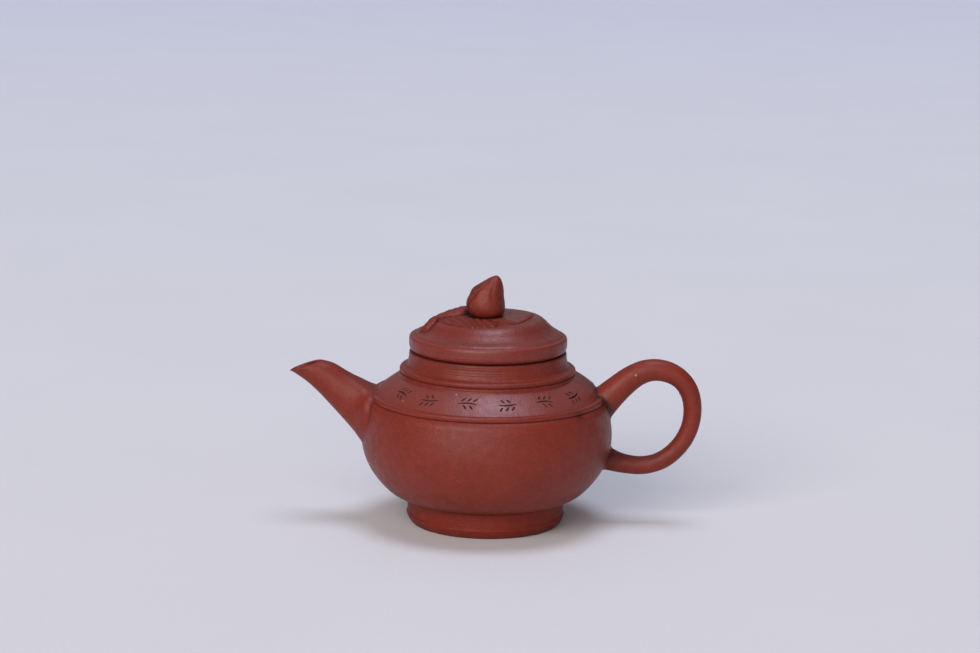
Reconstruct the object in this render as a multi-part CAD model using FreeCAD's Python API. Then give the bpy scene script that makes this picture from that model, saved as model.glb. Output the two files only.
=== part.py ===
import FreeCAD, Part
import math
import os

from FreeCAD import Vector

# Small red clay teapot, made of the clay pieces that a potter lutes together.
# Millimetres. The pot's axis is Z, the spout points along -X and the handle along +X.
# The origin is on the axis, in the plane that the foot ring stands on.

# Foot ring and floor
foot_radius = 21.6
foot_wall = 4.2
foot_height = 7.3
foot_bevel_width = 1.8
foot_bevel_height = 2.4
floor_seat = 2.4
floor_thickness = 2.6

# Bowl
wall = 2.6
bowl_overhang = 0.1
belly_radius = 34.3
bowl_height = 27.3
upper_bowl_height = 10.1
bowl_edge_inset = 1.2
bowl_edge_drop = 1.8
groove_depth = 1.4

# Raised string between bowl and shoulder
string_height = 1.4
string_depth = 1.2
string_proud = 0.3
string_round = 0.4

# Shoulder
shoulder_inset = 1.3
shoulder_rise = 4.9
shoulder_crown = 0.25

# Neck: step ring and collar
mouth_radius = 18.4
collar_wall = 2.8
collar_height = 4.15
collar_flare = 0.6
collar_waist = 0.1
collar_edge = 0.4
step_width = 2.8
step_height = 2.7
step_round = 1.9
step_draft = 0.15

# Spout: each station is its lower edge, outwards from the belly and upwards from the height of
# the belly, then its upper edge in the same way, then its half width
spout_stations = [
    (-3.5, -8.0, -8.5, 10.1, 13.0),
    (0.0, -2.9, -4.4, 12.0, 9.6),
    (4.5, 2.8, -0.4, 14.3, 6.3),
    (9.4, 8.1, 3.9, 16.6, 4.5),
    (14.8, 13.6, 7.9, 19.0, 3.6),
    (19.6, 16.8, 11.2, 19.75, 3.15),
]
spout_root_wall = 2.6
spout_lip = 0.95

# Strainer behind the spout
strainer_radius = 4.2
strainer_height = 4.6
strainer_hole_radius = 0.8
strainer_hole_offset = 2.5
strainer_hole_count = 6

# Handle: each station is its centre, measured outwards from the belly and upwards from the
# height of the belly, and its thickness
handle_stations = [
    (-4.5, 7.0, 9.5),
    (2.0, 13.4, 7.4),
    (10.6, 18.45, 6.1),
    (19.0, 15.4, 5.5),
    (21.95, 7.7, 5.0),
    (19.35, -1.6, 4.75),
    (11.1, -8.0, 4.65),
    (2.0, -7.9, 4.9),
    (-4.0, -5.9, 6.5),
]

# Lid
lid_rim_height = 4.05
lid_edge_round = 0.5
lid_bead = 0.4
lid_cove_width = 4.8
lid_cove_rise = 3.4
lid_cove_sag = 0.2
lid_disc_height = 1.2
lid_disc_round = 0.8
lid_disc_draft = 0.3
lid_thickness = 2.8
lid_hollow_radius = 12.5
flange_depth = 6.0
flange_wall = 2.2
flange_clearance = 0.3
flange_root = 2.6
flange_edge = 0.6
vent_radius = 0.8
vent_place = (0.6, 9.4)

# Peach knob: each ring is its height above the lid, its shift along X and its radius
knob_stem_radius = 3.1
knob_rings = [
    (1.3, -0.65, 3.5),
    (2.3, -0.7, 4.55),
    (4.8, -0.85, 5.05),
    (7.7, -0.5, 4.4),
    (10.2, 0.75, 2.7),
    (12.0, 1.7, 0.4),
]

# Leaves and twig in relief on the lid
leaf_height = 1.3
back_leaf_height = 2.2
front_leaf_half_width = 3.0
front_leaf_margin = 2.3
front_leaf_start_angle = 187.0
front_leaf_end_angle = 274.0
long_leaf_half_width = 3.6
long_leaf_overhang = 2.2
long_leaf_angle = 178.0
back_leaf_half_width = 2.8
back_leaf_margin = 3.3
back_leaf_angle = 133.0
twig_radius = 0.95
twig_margin = 4.6
twig_start_angle = -70.0
twig_sweep = 78.0

# Heights that the pieces stack up to
bowl_top = foot_height + bowl_height
belly_height = bowl_top - upper_bowl_height
string_top = bowl_top + string_height
shoulder_top = string_top + shoulder_rise
step_top = shoulder_top + step_height
lid_seat = step_top + collar_height
lid_rim_top = lid_seat + lid_rim_height
disc_bottom = lid_rim_top + lid_cove_rise
lid_top = disc_bottom + lid_disc_height
flange_top = lid_seat + flange_root

# Radii that follow from the pieces that meet
foot_bore_radius = foot_radius - foot_wall
floor_radius = foot_bore_radius + floor_seat
bowl_root_radius = foot_radius + bowl_overhang
bowl_edge_radius = belly_radius - bowl_edge_inset
groove_radius = bowl_edge_radius - groove_depth
string_radius = groove_radius + string_proud
string_bore_radius = string_radius - string_depth - string_proud
shoulder_radius = string_radius - shoulder_inset
collar_radius = mouth_radius + collar_wall
step_radius = collar_radius + step_width
flange_radius = mouth_radius - flange_clearance
flange_bore_radius = flange_radius - flange_wall
disc_radius = collar_radius - lid_bead - lid_cove_width

# The belly's outline between foot and belly, as shares of the way out and of the way up
belly_swell = [(0.317, 0.076), (0.571, 0.238), (0.84, 0.517)]

axis_up = Vector(0, 0, 1)
origin = Vector(0, 0, 0)
oval_points = 16
half = 0.5


def at(point):
    """Place a (radius, height) point in the X-Z plane."""
    return Vector(point[0], 0, point[1])


def line(start, end):
    """Straight edge between two points of a profile."""
    return Part.LineSegment(at(start), at(end)).toShape()


def lines(*points):
    """Straight edges along a row of profile points."""
    return [line(start, end) for start, end in zip(points, points[1:])]


def bulged(start, end, bulge):
    """Arc between two profile points, bulging to the left of the way from start to end."""
    along = at(end) - at(start)
    left = Vector(-along.z, 0, along.x).normalize()
    middle = (at(start) + at(end)) * half + left * bulge
    return Part.Arc(at(start), middle, at(end)).toShape()


def corner(start, apex, end):
    """Quarter-like round from start to end, drawn towards the corner at apex."""
    curve = Part.BezierCurve()
    curve.setPoles([at(start), at(apex), at(end)])
    return curve.toShape()


def smooth(points):
    """Smooth curve through profile points."""
    curve = Part.BSplineCurve()
    curve.interpolate([at(point) for point in points])
    return curve


def turned(edges):
    """Solid turned about the pot's axis from the closed profile that the edges make."""
    wire = Part.Wire(Part.__sortEdges__(edges))
    return Part.Face(wire).revolve(origin, axis_up, 360)


def oval(centre, long_way, half_length, half_width):
    """Closed oval wire across the X-Z plane, with one axis along long_way and one along Y."""
    points = []
    for number in range(oval_points):
        turn = 2 * math.pi * number / oval_points
        across = Vector(0, half_width * math.sin(turn), 0)
        points.append(centre + long_way * (half_length * math.cos(turn)) + across)
    curve = Part.BSplineCurve()
    curve.interpolate(Points=points, PeriodicFlag=True)
    return Part.Wire(curve.toShape())


def largest(shape):
    """The largest solid of a cut shape."""
    return max(shape.Solids, key=lambda solid: solid.Volume)


def bowl_outline():
    """Points of the bowl's outside, from the foot to its upper edge."""
    way_out = belly_radius - bowl_root_radius
    way_up = belly_height - foot_height
    points = [(bowl_root_radius, foot_height)]
    for share_out, share_up in belly_swell:
        points.append((bowl_root_radius + share_out * way_out, foot_height + share_up * way_up))
    points.append((belly_radius, belly_height))
    points.append((bowl_edge_radius, bowl_top - bowl_edge_drop))
    return points


def bowl_outside():
    """Edges of the bowl's outside, with the round into the groove at its top."""
    points = bowl_outline()
    edge = points[-1]
    groove = (groove_radius, bowl_top)
    return [smooth(points).toShape(), corner(edge, (edge[0] - half * groove_depth, bowl_top), groove)]


def bowl_inside():
    """Points of the bowl's inside, one wall in from its outside."""
    curve = smooth(bowl_outline())
    points = [(floor_radius, foot_height + floor_thickness)]
    for point in bowl_outline()[1:-1]:
        tangent = curve.tangent(curve.parameter(at(point)))[0]
        points.append((point[0] - wall * tangent.z, point[1] + wall * tangent.x))
    points.append((groove_radius - wall, bowl_top))
    return points


def strainer_plug(radius):
    """Round bar through the bowl's wall, behind the spout."""
    start = Vector(-belly_radius - wall, 0, belly_height + strainer_height)
    return Part.makeCylinder(radius, 3 * wall, start, Vector(1, 0, 0))


def bowl_wall():
    """Bowl wall before the strainer's hole is cut."""
    inside = bowl_inside()
    root = (bowl_root_radius, foot_height)
    floor_edge = (floor_radius, foot_height)
    edges = bowl_outside() + [smooth(inside).toShape()]
    edges += lines(inside[0], floor_edge, root)
    edges.append(line((groove_radius, bowl_top), inside[-1]))
    return turned(edges)


def bowl():
    """Bowl wall with the round hole that holds the strainer."""
    return bowl_wall().cut(strainer_plug(strainer_radius))


def strainer():
    """Pierced plug that fills the hole behind the spout."""
    plug = bowl_wall().common(strainer_plug(strainer_radius))
    bar = strainer_plug(strainer_hole_radius)
    plug = plug.cut(bar)
    for number in range(strainer_hole_count):
        turn = 2 * math.pi * number / strainer_hole_count
        hole = bar.copy()
        shift = Vector(0, math.cos(turn), math.sin(turn)) * strainer_hole_offset
        hole.translate(shift)
        plug = plug.cut(hole)
    return plug


def foot_ring():
    """Ring that the pot stands on, with a rounded bevel at its lower edge."""
    rest_edge = (foot_radius - foot_bevel_width, 0)
    wall_edge = (foot_radius, foot_bevel_height)
    edges = [line((foot_bore_radius, 0), rest_edge)]
    edges.append(corner(rest_edge, (foot_radius - half * foot_bevel_width, 0), wall_edge))
    edges += lines(wall_edge, (foot_radius, foot_height), (foot_bore_radius, foot_height))
    edges.append(line((foot_bore_radius, foot_height), (foot_bore_radius, 0)))
    return turned(edges)


def base_disc():
    """Floor slab that closes the bowl and rests on the foot ring."""
    return Part.makeCylinder(floor_radius, floor_thickness, Vector(0, 0, foot_height))


def string_profile(inner_radius):
    """Edges of the raised string, from an inner radius out to its round nose."""
    low = (string_radius - string_round, bowl_top)
    high = (string_radius - string_round, string_top)
    nose = (string_radius, half * (bowl_top + string_top))
    edges = [Part.Arc(at(low), at(nose), at(high)).toShape()]
    edges += lines(high, (inner_radius, string_top), (inner_radius, bowl_top), low)
    return edges


def string_ring():
    """Thin raised string of clay over the joint of bowl and shoulder."""
    return turned(string_profile(string_bore_radius))


def shoulder_slope():
    """Crowned outer edge of the shoulder, from the string up to the neck."""
    return bulged((shoulder_radius, string_top), (step_radius, shoulder_top), -shoulder_crown)


def shoulder_plate():
    """Sloping shoulder with the skirt that stands on the bowl."""
    run = shoulder_radius - step_radius
    slope_length = math.hypot(run, shoulder_rise)
    drop = wall * slope_length / run
    fall = shoulder_rise / run
    ceiling = shoulder_top - wall
    ceiling_radius = step_radius - (drop - wall) / fall
    skirt_radius = step_radius + (shoulder_top - drop - bowl_top) / fall
    edges = [shoulder_slope()]
    edges += lines(
        (step_radius, shoulder_top),
        (mouth_radius, shoulder_top),
        (mouth_radius, ceiling),
        (ceiling_radius, ceiling),
        (skirt_radius, bowl_top),
        (string_bore_radius, bowl_top),
        (string_bore_radius, string_top),
        (shoulder_radius, string_top),
    )
    return turned(edges)


def neck_step():
    """Rounded step ring at the top of the shoulder."""
    side_top = (step_radius - step_draft, step_top - step_round)
    ledge = (step_radius - step_round - step_draft, step_top)
    edges = [line((step_radius, shoulder_top), side_top)]
    edges.append(corner(side_top, (step_radius - step_draft, step_top), ledge))
    edges += lines(
        ledge,
        (mouth_radius, step_top),
        (mouth_radius, shoulder_top),
        (step_radius, shoulder_top),
    )
    return turned(edges)


def neck_collar():
    """Short upright neck with a slightly waisted outside and the seat of the lid on top."""
    root = (collar_radius + collar_flare, step_top)
    shoulder = (collar_radius, lid_seat - collar_edge)
    seat = (collar_radius - collar_edge, lid_seat)
    edges = [bulged(root, shoulder, collar_waist)]
    edges.append(corner(shoulder, (collar_radius, lid_seat), seat))
    edges += lines(seat, (mouth_radius, lid_seat), (mouth_radius, step_top), root)
    return turned(edges)


def pot_filled():
    """The pot's outside as one filled shape, for seating spout and handle."""
    bowl_edges = bowl_outside()
    bowl_edges += lines(
        (groove_radius, bowl_top),
        (0, bowl_top),
        (0, foot_height),
        (bowl_root_radius, foot_height),
    )
    shoulder_edges = [shoulder_slope()]
    shoulder_edges += lines(
        (step_radius, shoulder_top),
        (0, shoulder_top),
        (0, string_top),
        (shoulder_radius, string_top),
    )
    return turned(bowl_edges).fuse([turned(string_profile(0)), turned(shoulder_edges)])


def spout():
    """Tapering hollow spout with a flared root, seated on the bowl and shoulder."""
    last = len(spout_stations) - 1
    outside = []
    bore = []
    for number, (low_out, low_up, high_out, high_up, half_width) in enumerate(spout_stations):
        lower_edge = Vector(-belly_radius - low_out, 0, belly_height + low_up)
        upper_edge = Vector(-belly_radius - high_out, 0, belly_height + high_up)
        centre = (lower_edge + upper_edge) * half
        half_length = half * (upper_edge - lower_edge).Length
        long_way = (upper_edge - lower_edge).normalize()
        inset = spout_root_wall + (spout_lip - spout_root_wall) * number / last
        bore_half_length = half_length - inset
        bore_half_width = min(half_width - inset, bore_half_length)
        outside.append(oval(centre, long_way, half_length, half_width))
        bore.append(oval(centre, long_way, bore_half_length, bore_half_width))
    body = Part.makeLoft(outside, True, False)
    channel = Part.makeLoft(bore, True, False)
    return largest(body.cut(pot_filled())).cut(channel)


def handle():
    """Round ear handle, thicker at its upper root."""
    centres = []
    for out, up, thickness in handle_stations:
        centres.append(Vector(belly_radius + out, 0, belly_height + up))
    path = Part.BSplineCurve()
    path.interpolate(centres)
    rings = []
    for centre, station in zip(centres, handle_stations):
        tangent = path.tangent(path.parameter(centre))[0]
        across = Vector(tangent.z, 0, -tangent.x)
        radius = half * station[2]
        rings.append(oval(centre, across, radius, radius))
    return largest(Part.makeLoft(rings, True, False).cut(pot_filled()))


def lid_outside():
    """Edges of the lid's outside, from its seat to the edge of its raised disc."""
    seat = (collar_radius - lid_edge_round, lid_seat)
    rim_low = (collar_radius, lid_seat + lid_edge_round)
    rim_high = (collar_radius, lid_rim_top - lid_edge_round)
    bead = (collar_radius - lid_bead, lid_rim_top)
    disc_low = (disc_radius, disc_bottom)
    disc_high = (disc_radius - lid_disc_draft, lid_top - lid_disc_round)
    plateau = (disc_radius - lid_disc_draft - lid_disc_round, lid_top)
    edges = [corner(seat, (collar_radius, lid_seat), rim_low), line(rim_low, rim_high)]
    edges.append(corner(rim_high, (collar_radius, lid_rim_top), bead))
    edges.append(bulged(bead, disc_low, lid_cove_sag))
    edges.append(line(disc_low, disc_high))
    edges.append(corner(disc_high, (disc_radius - lid_disc_draft, lid_top), plateau))
    edges.append(line(plateau, (0, lid_top)))
    return edges


def lid_filled():
    """The lid's outside as one filled shape, for seating the relief."""
    edges = lid_outside()
    edges += lines((0, lid_top), (0, lid_seat), (collar_radius - lid_edge_round, lid_seat))
    return turned(edges)


def lid_plate():
    """Turned lid, hollow below, with a small vent behind the knob."""
    ceiling = lid_top - lid_thickness
    edges = lid_outside()
    edges += lines(
        (0, lid_top),
        (0, ceiling),
        (lid_hollow_radius, ceiling),
        (flange_bore_radius, flange_top),
        (mouth_radius, flange_top),
        (mouth_radius, lid_seat),
        (collar_radius - lid_edge_round, lid_seat),
    )
    vent = Part.makeCylinder(vent_radius, lid_thickness, Vector(vent_place[0], vent_place[1], ceiling))
    return turned(edges).cut(vent)


def lid_flange():
    """Round flange that hangs in the neck and keeps the lid in place."""
    bottom = lid_seat - flange_depth
    nose = (flange_radius - flange_edge, bottom)
    side = (flange_radius, bottom + flange_edge)
    edges = [corner(nose, (flange_radius, bottom), side)]
    edges += lines(
        side,
        (flange_radius, flange_top),
        (flange_bore_radius, flange_top),
        (flange_bore_radius, bottom),
        nose,
    )
    return turned(edges)


def peach_knob():
    """Leaning peach that tapers to its tip, on a short stem."""
    rings = []
    for rise, shift, radius in knob_rings:
        centre = Vector(shift, 0, lid_top + rise)
        rings.append(Part.Wire(Part.makeCircle(radius, centre, axis_up)))
    first_rise, first_shift, first_radius = knob_rings[0]
    stem = Part.makeCylinder(knob_stem_radius, first_rise, Vector(first_shift, 0, lid_top))
    return Part.makeLoft(rings, True, False).fuse(stem).removeSplitter()


def polar(radius, degrees):
    """Point in plan from a radius and an angle from +X."""
    turn = math.radians(degrees)
    return Vector(radius * math.cos(turn), radius * math.sin(turn), 0)


def leaf(base, tip, half_width, height):
    """Pointed leaf that lies on the lid and follows it, cut from a raised copy of the lid."""
    along = tip - base
    left = Vector(-along.y, along.x, 0).normalize() * half_width
    middle = (base + tip) * half
    sides = [Part.Arc(base, middle + left, tip), Part.Arc(tip, middle - left, base)]
    plan = Part.Face(Part.Wire([side.toShape() for side in sides]))
    plan.translate(Vector(0, 0, lid_rim_top))
    raised = lid_filled()
    raised.translate(Vector(0, 0, height))
    column = plan.extrude(Vector(0, 0, lid_top - lid_rim_top + height))
    return largest(column.common(raised).cut(lid_filled()))


def long_leaf():
    """Leaf from the knob over the left edge of the lid's disc."""
    base = polar(knob_stem_radius, long_leaf_angle)
    tip = polar(disc_radius + long_leaf_overhang, long_leaf_angle)
    return largest(leaf(base, tip, long_leaf_half_width, leaf_height).cut(peach_knob()))


def front_leaf():
    """Leaf along the front of the lid's disc."""
    radius = disc_radius - front_leaf_margin
    base = polar(radius, front_leaf_start_angle)
    tip = polar(radius, front_leaf_end_angle)
    flat = leaf(base, tip, front_leaf_half_width, leaf_height)
    return largest(flat.cut(peach_knob()).cut(long_leaf()))


def back_leaf():
    """Thick leaf that rises against the back of the knob."""
    base = polar(knob_stem_radius, back_leaf_angle)
    tip = polar(disc_radius - back_leaf_margin, back_leaf_angle)
    flat = leaf(base, tip, back_leaf_half_width, back_leaf_height)
    return largest(flat.cut(peach_knob()).cut(long_leaf()))


def twig():
    """Half-round twig that bends along the right of the lid's disc."""
    start = polar(disc_radius - twig_margin, twig_start_angle) + Vector(0, 0, lid_top)
    along = polar(1, twig_start_angle + 90)
    section = Part.Face(Part.Wire(Part.makeCircle(twig_radius, start, along)))
    bar = section.revolve(origin, axis_up, twig_sweep)
    return largest(bar.cut(lid_filled()).cut(front_leaf()))


pieces = [
    foot_ring, base_disc, bowl, strainer, string_ring, shoulder_plate, neck_step, neck_collar,
    spout, handle, lid_flange, lid_plate, peach_knob, long_leaf, front_leaf, back_leaf, twig,
]

os.makedirs("parts", exist_ok=True)
for piece in pieces:
    piece().exportStep("parts/" + piece.__name__ + ".step")
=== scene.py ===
import logging
import math
from dataclasses import dataclass
from enum import Enum
from functools import cached_property
from typing import Callable, Sequence

import bmesh
import bpy
import numpy as np
from mathutils import Matrix, Vector


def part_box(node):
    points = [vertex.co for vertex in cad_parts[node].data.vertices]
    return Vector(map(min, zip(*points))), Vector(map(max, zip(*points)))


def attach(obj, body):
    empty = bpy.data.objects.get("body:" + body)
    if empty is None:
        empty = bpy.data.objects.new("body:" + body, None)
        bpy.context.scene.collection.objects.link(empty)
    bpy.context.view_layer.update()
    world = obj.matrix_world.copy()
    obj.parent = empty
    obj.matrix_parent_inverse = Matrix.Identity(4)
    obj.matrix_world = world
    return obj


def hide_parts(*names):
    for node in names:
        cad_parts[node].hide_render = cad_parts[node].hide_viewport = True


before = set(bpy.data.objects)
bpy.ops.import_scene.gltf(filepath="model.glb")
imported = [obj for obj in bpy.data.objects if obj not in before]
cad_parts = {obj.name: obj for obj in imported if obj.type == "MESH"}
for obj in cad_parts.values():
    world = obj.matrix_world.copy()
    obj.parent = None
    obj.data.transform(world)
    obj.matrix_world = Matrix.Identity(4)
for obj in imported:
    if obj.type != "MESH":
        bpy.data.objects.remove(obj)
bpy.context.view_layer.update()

# Small red clay teapot: the looks of its clay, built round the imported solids.
# Sizes in this file are millimetres, and MM turns them into Blender's metres.
MM = 0.001
FULL_TURN = 2 * math.pi
# Points of a piece that lie closer together than this are merged.
WELD = 0.002
# Waves that make up a wheel line: height, rate and start.
WHEEL_WAVES = ((0.5, 1.0, 0.0), (0.3, 0.43, 1.7), (0.2, 2.3, 0.0))
WHEEL_FADE = 3
# Middles and radii of the coarse grains of sand and of the crumbs at the handle.
SAND_PLACES = (
    (40.25, -3.05, 42.1, 0.34),
    (-8.1, -23.55, 40.35, 0.26),
    (-22.4, -18.6, 37.2, 0.2),
    (21.0, 20.6, 37.6, 0.24),
    (-12.0, 31.2, 30.5, 0.22),
)
CRUMB_PLACES = (
    (52.6, -0.5, 36.75, 0.24),
    (28.9, -6.2, 36.7, 0.5),
    (28.3, -8.4, 36.4, 0.35),
    (30.6, -5.9, 35.2, 0.4),
    (29.2, 6.0, 36.6, 0.5),
)
KEPT_SOLIDS = ("base_disc", "strainer", "lid_flange")
# Point attribute that darkens the clay: painted shade in creases, gaps, under things and on shaded sides, and
# dark slip, residue and patina.
SHADE_AND_RESIDUE = "shade_and_residue"
log = logging.getLogger("teapot")

Point = tuple[float, float]
Colour = tuple[float, float, float, float]
Piece = bpy.types.Object
Material = bpy.types.Material
Socket = bpy.types.NodeSocket


class Body(Enum):
    """Bodies of the frame that the pieces ride on."""

    POT = "pot"
    LID = "lid"


class Working(Enum):
    """How a piece of clay was worked, which shows in its surface."""

    TURNED = "turned"
    MODELLED = "modelled"
    CUT = "cut"


class Edge(Enum):
    """How sharp an edge has to be, in degrees, to stay an edge when its piece is shaded smooth."""

    CRISP = 38.0
    ROUND = 50.0
    SOFT = 60.0


def smooth_step(low: float, high: float, value: float) -> float:
    """Ease from 0 at low to 1 at high.

    Args:
        low: value at which the step starts.
        high: value at which the step ends.
        value: the value to ease.

    Returns:
        A number from 0 to 1.
    """
    share = min(1.0, max(0.0, (value - low) / (high - low)))
    return share * share * (3 - 2 * share)


def hump(distance: float, width: float) -> float:
    """Smooth hump of height 1 at distance 0 that fades over a width."""
    return math.exp(-((distance / width) ** 2))


def spline_through(points: Sequence[Sequence[float]], count: int) -> np.ndarray:
    """Natural cubic spline through a row of points.

    Args:
        points: the points, each with any number of coordinates.
        count: how many points to return, evenly spread along the row.

    Returns:
        An array of count rows.
    """
    knots = np.array(points, dtype=float)
    spans = np.linalg.norm(np.diff(knots, axis=0), axis=1)
    marks = np.concatenate([[0.0], np.cumsum(spans)])
    size = len(knots)
    system = np.eye(size)
    bends = np.zeros_like(knots)
    for row in range(1, size - 1):
        before, after = spans[row - 1], spans[row]
        system[row, row - 1:row + 2] = before, 2 * (before + after), after
        rise_after = (knots[row + 1] - knots[row]) / after
        rise_before = (knots[row] - knots[row - 1]) / before
        bends[row] = 6 * (rise_after - rise_before)
    bends = np.linalg.solve(system, bends)
    rows = []
    for mark in np.linspace(0.0, marks[-1], count):
        row = min(int(np.searchsorted(marks, mark, side="right")) - 1, size - 2)
        span = spans[row]
        left = (marks[row + 1] - mark) / span
        right = 1 - left
        straight = left * knots[row] + right * knots[row + 1]
        bend = (left ** 3 - left) * bends[row] + (right ** 3 - right) * bends[row + 1]
        rows.append(straight + bend * span * span / 6)
    return np.array(rows)


def straight(start: Point, end: Point, count: int) -> list[Point]:
    """Evenly spaced points from start to just before end."""
    return [tuple(np.array(start) + (np.array(end) - start) * n / count) for n in range(count)]


def rounded(start: Point, apex: Point, end: Point, count: int = 7) -> list[Point]:
    """Round from start to end, drawn towards an apex.

    Args:
        start: first point.
        apex: the corner that the round is drawn towards.
        end: last point.
        count: number of points, both ends among them.

    Returns:
        The points of the round.
    """
    points = []
    for share in np.linspace(0.0, 1.0, count):
        ends = np.array(start) * (1 - share) ** 2 + np.array(end) * share ** 2
        points.append(tuple(ends + np.array(apex) * 2 * share * (1 - share)))
    return points


def bowed(start: Point, end: Point, bow: float, count: int = 16) -> list[Point]:
    """Shallow bow from start to just before end.

    Args:
        start: first point.
        end: the point after the last.
        bow: how far the middle stands to the left of the way.
        count: number of points.

    Returns:
        The points of the bow.
    """
    way = np.array(end) - np.array(start)
    left = np.array([-way[1], way[0]]) / np.linalg.norm(way)
    points = []
    for number in range(count):
        share = number / count
        points.append(tuple(np.array(start) + way * share + left * bow * 4 * share * (1 - share)))
    return points


def wheel_marked(points: Sequence[Point], pitch: float, depth: float) -> list[Point]:
    """Profile with the fine uneven lines that a turning tool leaves.

    Args:
        points: the profile, at close and even spacing.
        pitch: distance between lines.
        depth: depth of the lines.

    Returns:
        The profile, with each point moved across it.
    """
    row = np.array(points, dtype=float)
    along = np.gradient(row, axis=0)
    along /= np.linalg.norm(along, axis=1)[:, None]
    across = np.stack([-along[:, 1], along[:, 0]], axis=1)
    steps = np.linalg.norm(np.diff(row, axis=0), axis=1)
    travelled = np.concatenate([[0.0], np.cumsum(steps)]) * FULL_TURN / pitch
    lines = sum(height * np.sin(rate * travelled + start) for height, rate, start in WHEEL_WAVES)
    numbers = np.arange(len(row))
    fade = np.minimum(1.0, np.minimum(numbers, numbers[::-1]) / WHEEL_FADE)
    return [tuple(point) for point in row + across * (lines * fade * depth)[:, None]]


class Bench:
    """Modelling by hand with Blender's own operators."""

    @staticmethod
    def clear() -> None:
        """Leave edit mode and select nothing."""
        if bpy.context.mode != "OBJECT":
            bpy.ops.object.mode_set(mode="OBJECT")
        bpy.ops.object.select_all(action="DESELECT")

    @staticmethod
    def hold(piece: Piece) -> None:
        """Select one piece alone and make it active.

        Args:
            piece: the piece.
        """
        Bench.clear()
        piece.select_set(True)
        bpy.context.view_layer.objects.active = piece

    @staticmethod
    def name_new(name: str) -> Piece:
        """Name the piece that was just added.

        Args:
            name: its name.

        Returns:
            The piece.
        """
        piece = bpy.context.object
        piece.name = name
        piece.data.name = name
        return piece

    @staticmethod
    def duplicate(piece: Piece, *moves: Matrix) -> Piece:
        """Copy a piece with its own mesh, and move the copy.

        Args:
            piece: the piece.
            moves: moves of the copy, the first one first.

        Returns:
            The copy.
        """
        copy = piece.copy()
        copy.data = piece.data.copy()
        bpy.context.collection.objects.link(copy)
        for move in moves:
            copy.data.transform(move)
        return copy

    @staticmethod
    def join(pieces: Sequence[Piece]) -> Piece:
        """Join pieces into the first of them.

        Args:
            pieces: the pieces.

        Returns:
            The joined piece.
        """
        Bench.hold(pieces[0])
        for piece in pieces:
            piece.select_set(True)
        bpy.ops.object.join()
        return bpy.context.object

    @staticmethod
    def close_up() -> None:
        """In edit mode, merge doubles and turn all faces outwards."""
        bpy.ops.mesh.select_all(action="SELECT")
        bpy.ops.mesh.remove_doubles(threshold=WELD * MM)
        bpy.ops.mesh.normals_make_consistent(inside=False)
        bpy.ops.object.mode_set(mode="OBJECT")

    @staticmethod
    def turn(name: str, profile: Sequence[Point], steps: int) -> Piece:
        """Turn a closed profile about the pot's axis, as on a wheel.

        Args:
            name: name of the piece.
            profile: (radius, height) points round the section.
            steps: number of steps in the full turn.

        Returns:
            The turned piece.
        """
        Bench.clear()
        bpy.ops.mesh.primitive_plane_add(size=MM)
        piece = Bench.name_new(name)
        bpy.ops.object.mode_set(mode="EDIT")
        bpy.ops.mesh.select_all(action="SELECT")
        bpy.ops.mesh.merge(type="CENTER")
        here = Vector((profile[0][0], 0, profile[0][1])) * MM
        bpy.ops.transform.translate(value=here)
        for radius, height in [*profile[1:], profile[0]]:
            there = Vector((radius, 0, height)) * MM
            bpy.ops.mesh.extrude_region_move(TRANSFORM_OT_translate={"value": there - here})
            here = there
        bpy.ops.mesh.select_all(action="SELECT")
        bpy.ops.mesh.spin(steps=steps, angle=FULL_TURN, center=(0, 0, 0), axis=(0, 0, 1))
        Bench.close_up()
        return piece

    @staticmethod
    def loft(name: str, rings: Sequence[Sequence[Vector]], hollow: bool) -> Piece:
        """Extrude a circle ring by ring through a row of outlines.

        Args:
            name: name of the piece.
            rings: outlines with the same number of points, in millimetres.
            hollow: join the last ring to the first, as on a tube with a wall.

        Returns:
            The lofted piece, closed at its ends.
        """
        Bench.clear()
        bpy.ops.mesh.primitive_circle_add(vertices=len(rings[0]), radius=MM)
        piece = Bench.name_new(name)
        bpy.ops.object.mode_set(mode="EDIT")
        mesh = bmesh.from_edit_mesh(piece.data)
        order = mesh.verts.layers.int.new("order")
        mesh.verts.ensure_lookup_table()
        for number, vert in enumerate(mesh.verts):
            vert[order] = number
            vert.co = rings[0][number] * MM
        for ring in rings[1:]:
            bpy.ops.mesh.extrude_region_move()
            mesh = bmesh.from_edit_mesh(piece.data)
            order = mesh.verts.layers.int["order"]
            for vert in mesh.verts:
                if vert.select:
                    vert.co = ring[vert[order]] * MM
        bmesh.update_edit_mesh(piece.data)
        bpy.ops.mesh.select_all(action="DESELECT")
        bpy.ops.mesh.select_non_manifold()
        if hollow:
            bpy.ops.mesh.bridge_edge_loops()
        else:
            bpy.ops.mesh.edge_face_add()
        Bench.close_up()
        piece.data.attributes.remove(piece.data.attributes["order"])
        return piece

    @staticmethod
    def sheet(name: str, along: int, across: int, place: Callable[[float, float], Vector],
              under: Callable[[Vector], float]) -> Piece:
        """Lay a grid over a surface and give it sides and an underside.

        Args:
            name: name of the piece.
            along: number of faces along it.
            across: number of faces across it.
            place: gives the point in millimetres for (0 to 1 along, -1 to 1 across).
            under: gives the height of the underside at a point.

        Returns:
            The closed piece.
        """
        Bench.clear()
        bpy.ops.mesh.primitive_grid_add(x_subdivisions=along, y_subdivisions=across, size=2)
        piece = Bench.name_new(name)
        for vert in piece.data.vertices:
            vert.co = place(0.5 * (vert.co.x + 1), vert.co.y) * MM
        bpy.ops.object.mode_set(mode="EDIT")
        bpy.ops.mesh.select_all(action="SELECT")
        bpy.ops.mesh.extrude_region_move()
        mesh = bmesh.from_edit_mesh(piece.data)
        for vert in mesh.verts:
            if vert.select:
                vert.co.z = under(vert.co / MM) * MM
        bmesh.update_edit_mesh(piece.data)
        Bench.close_up()
        return piece

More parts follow.
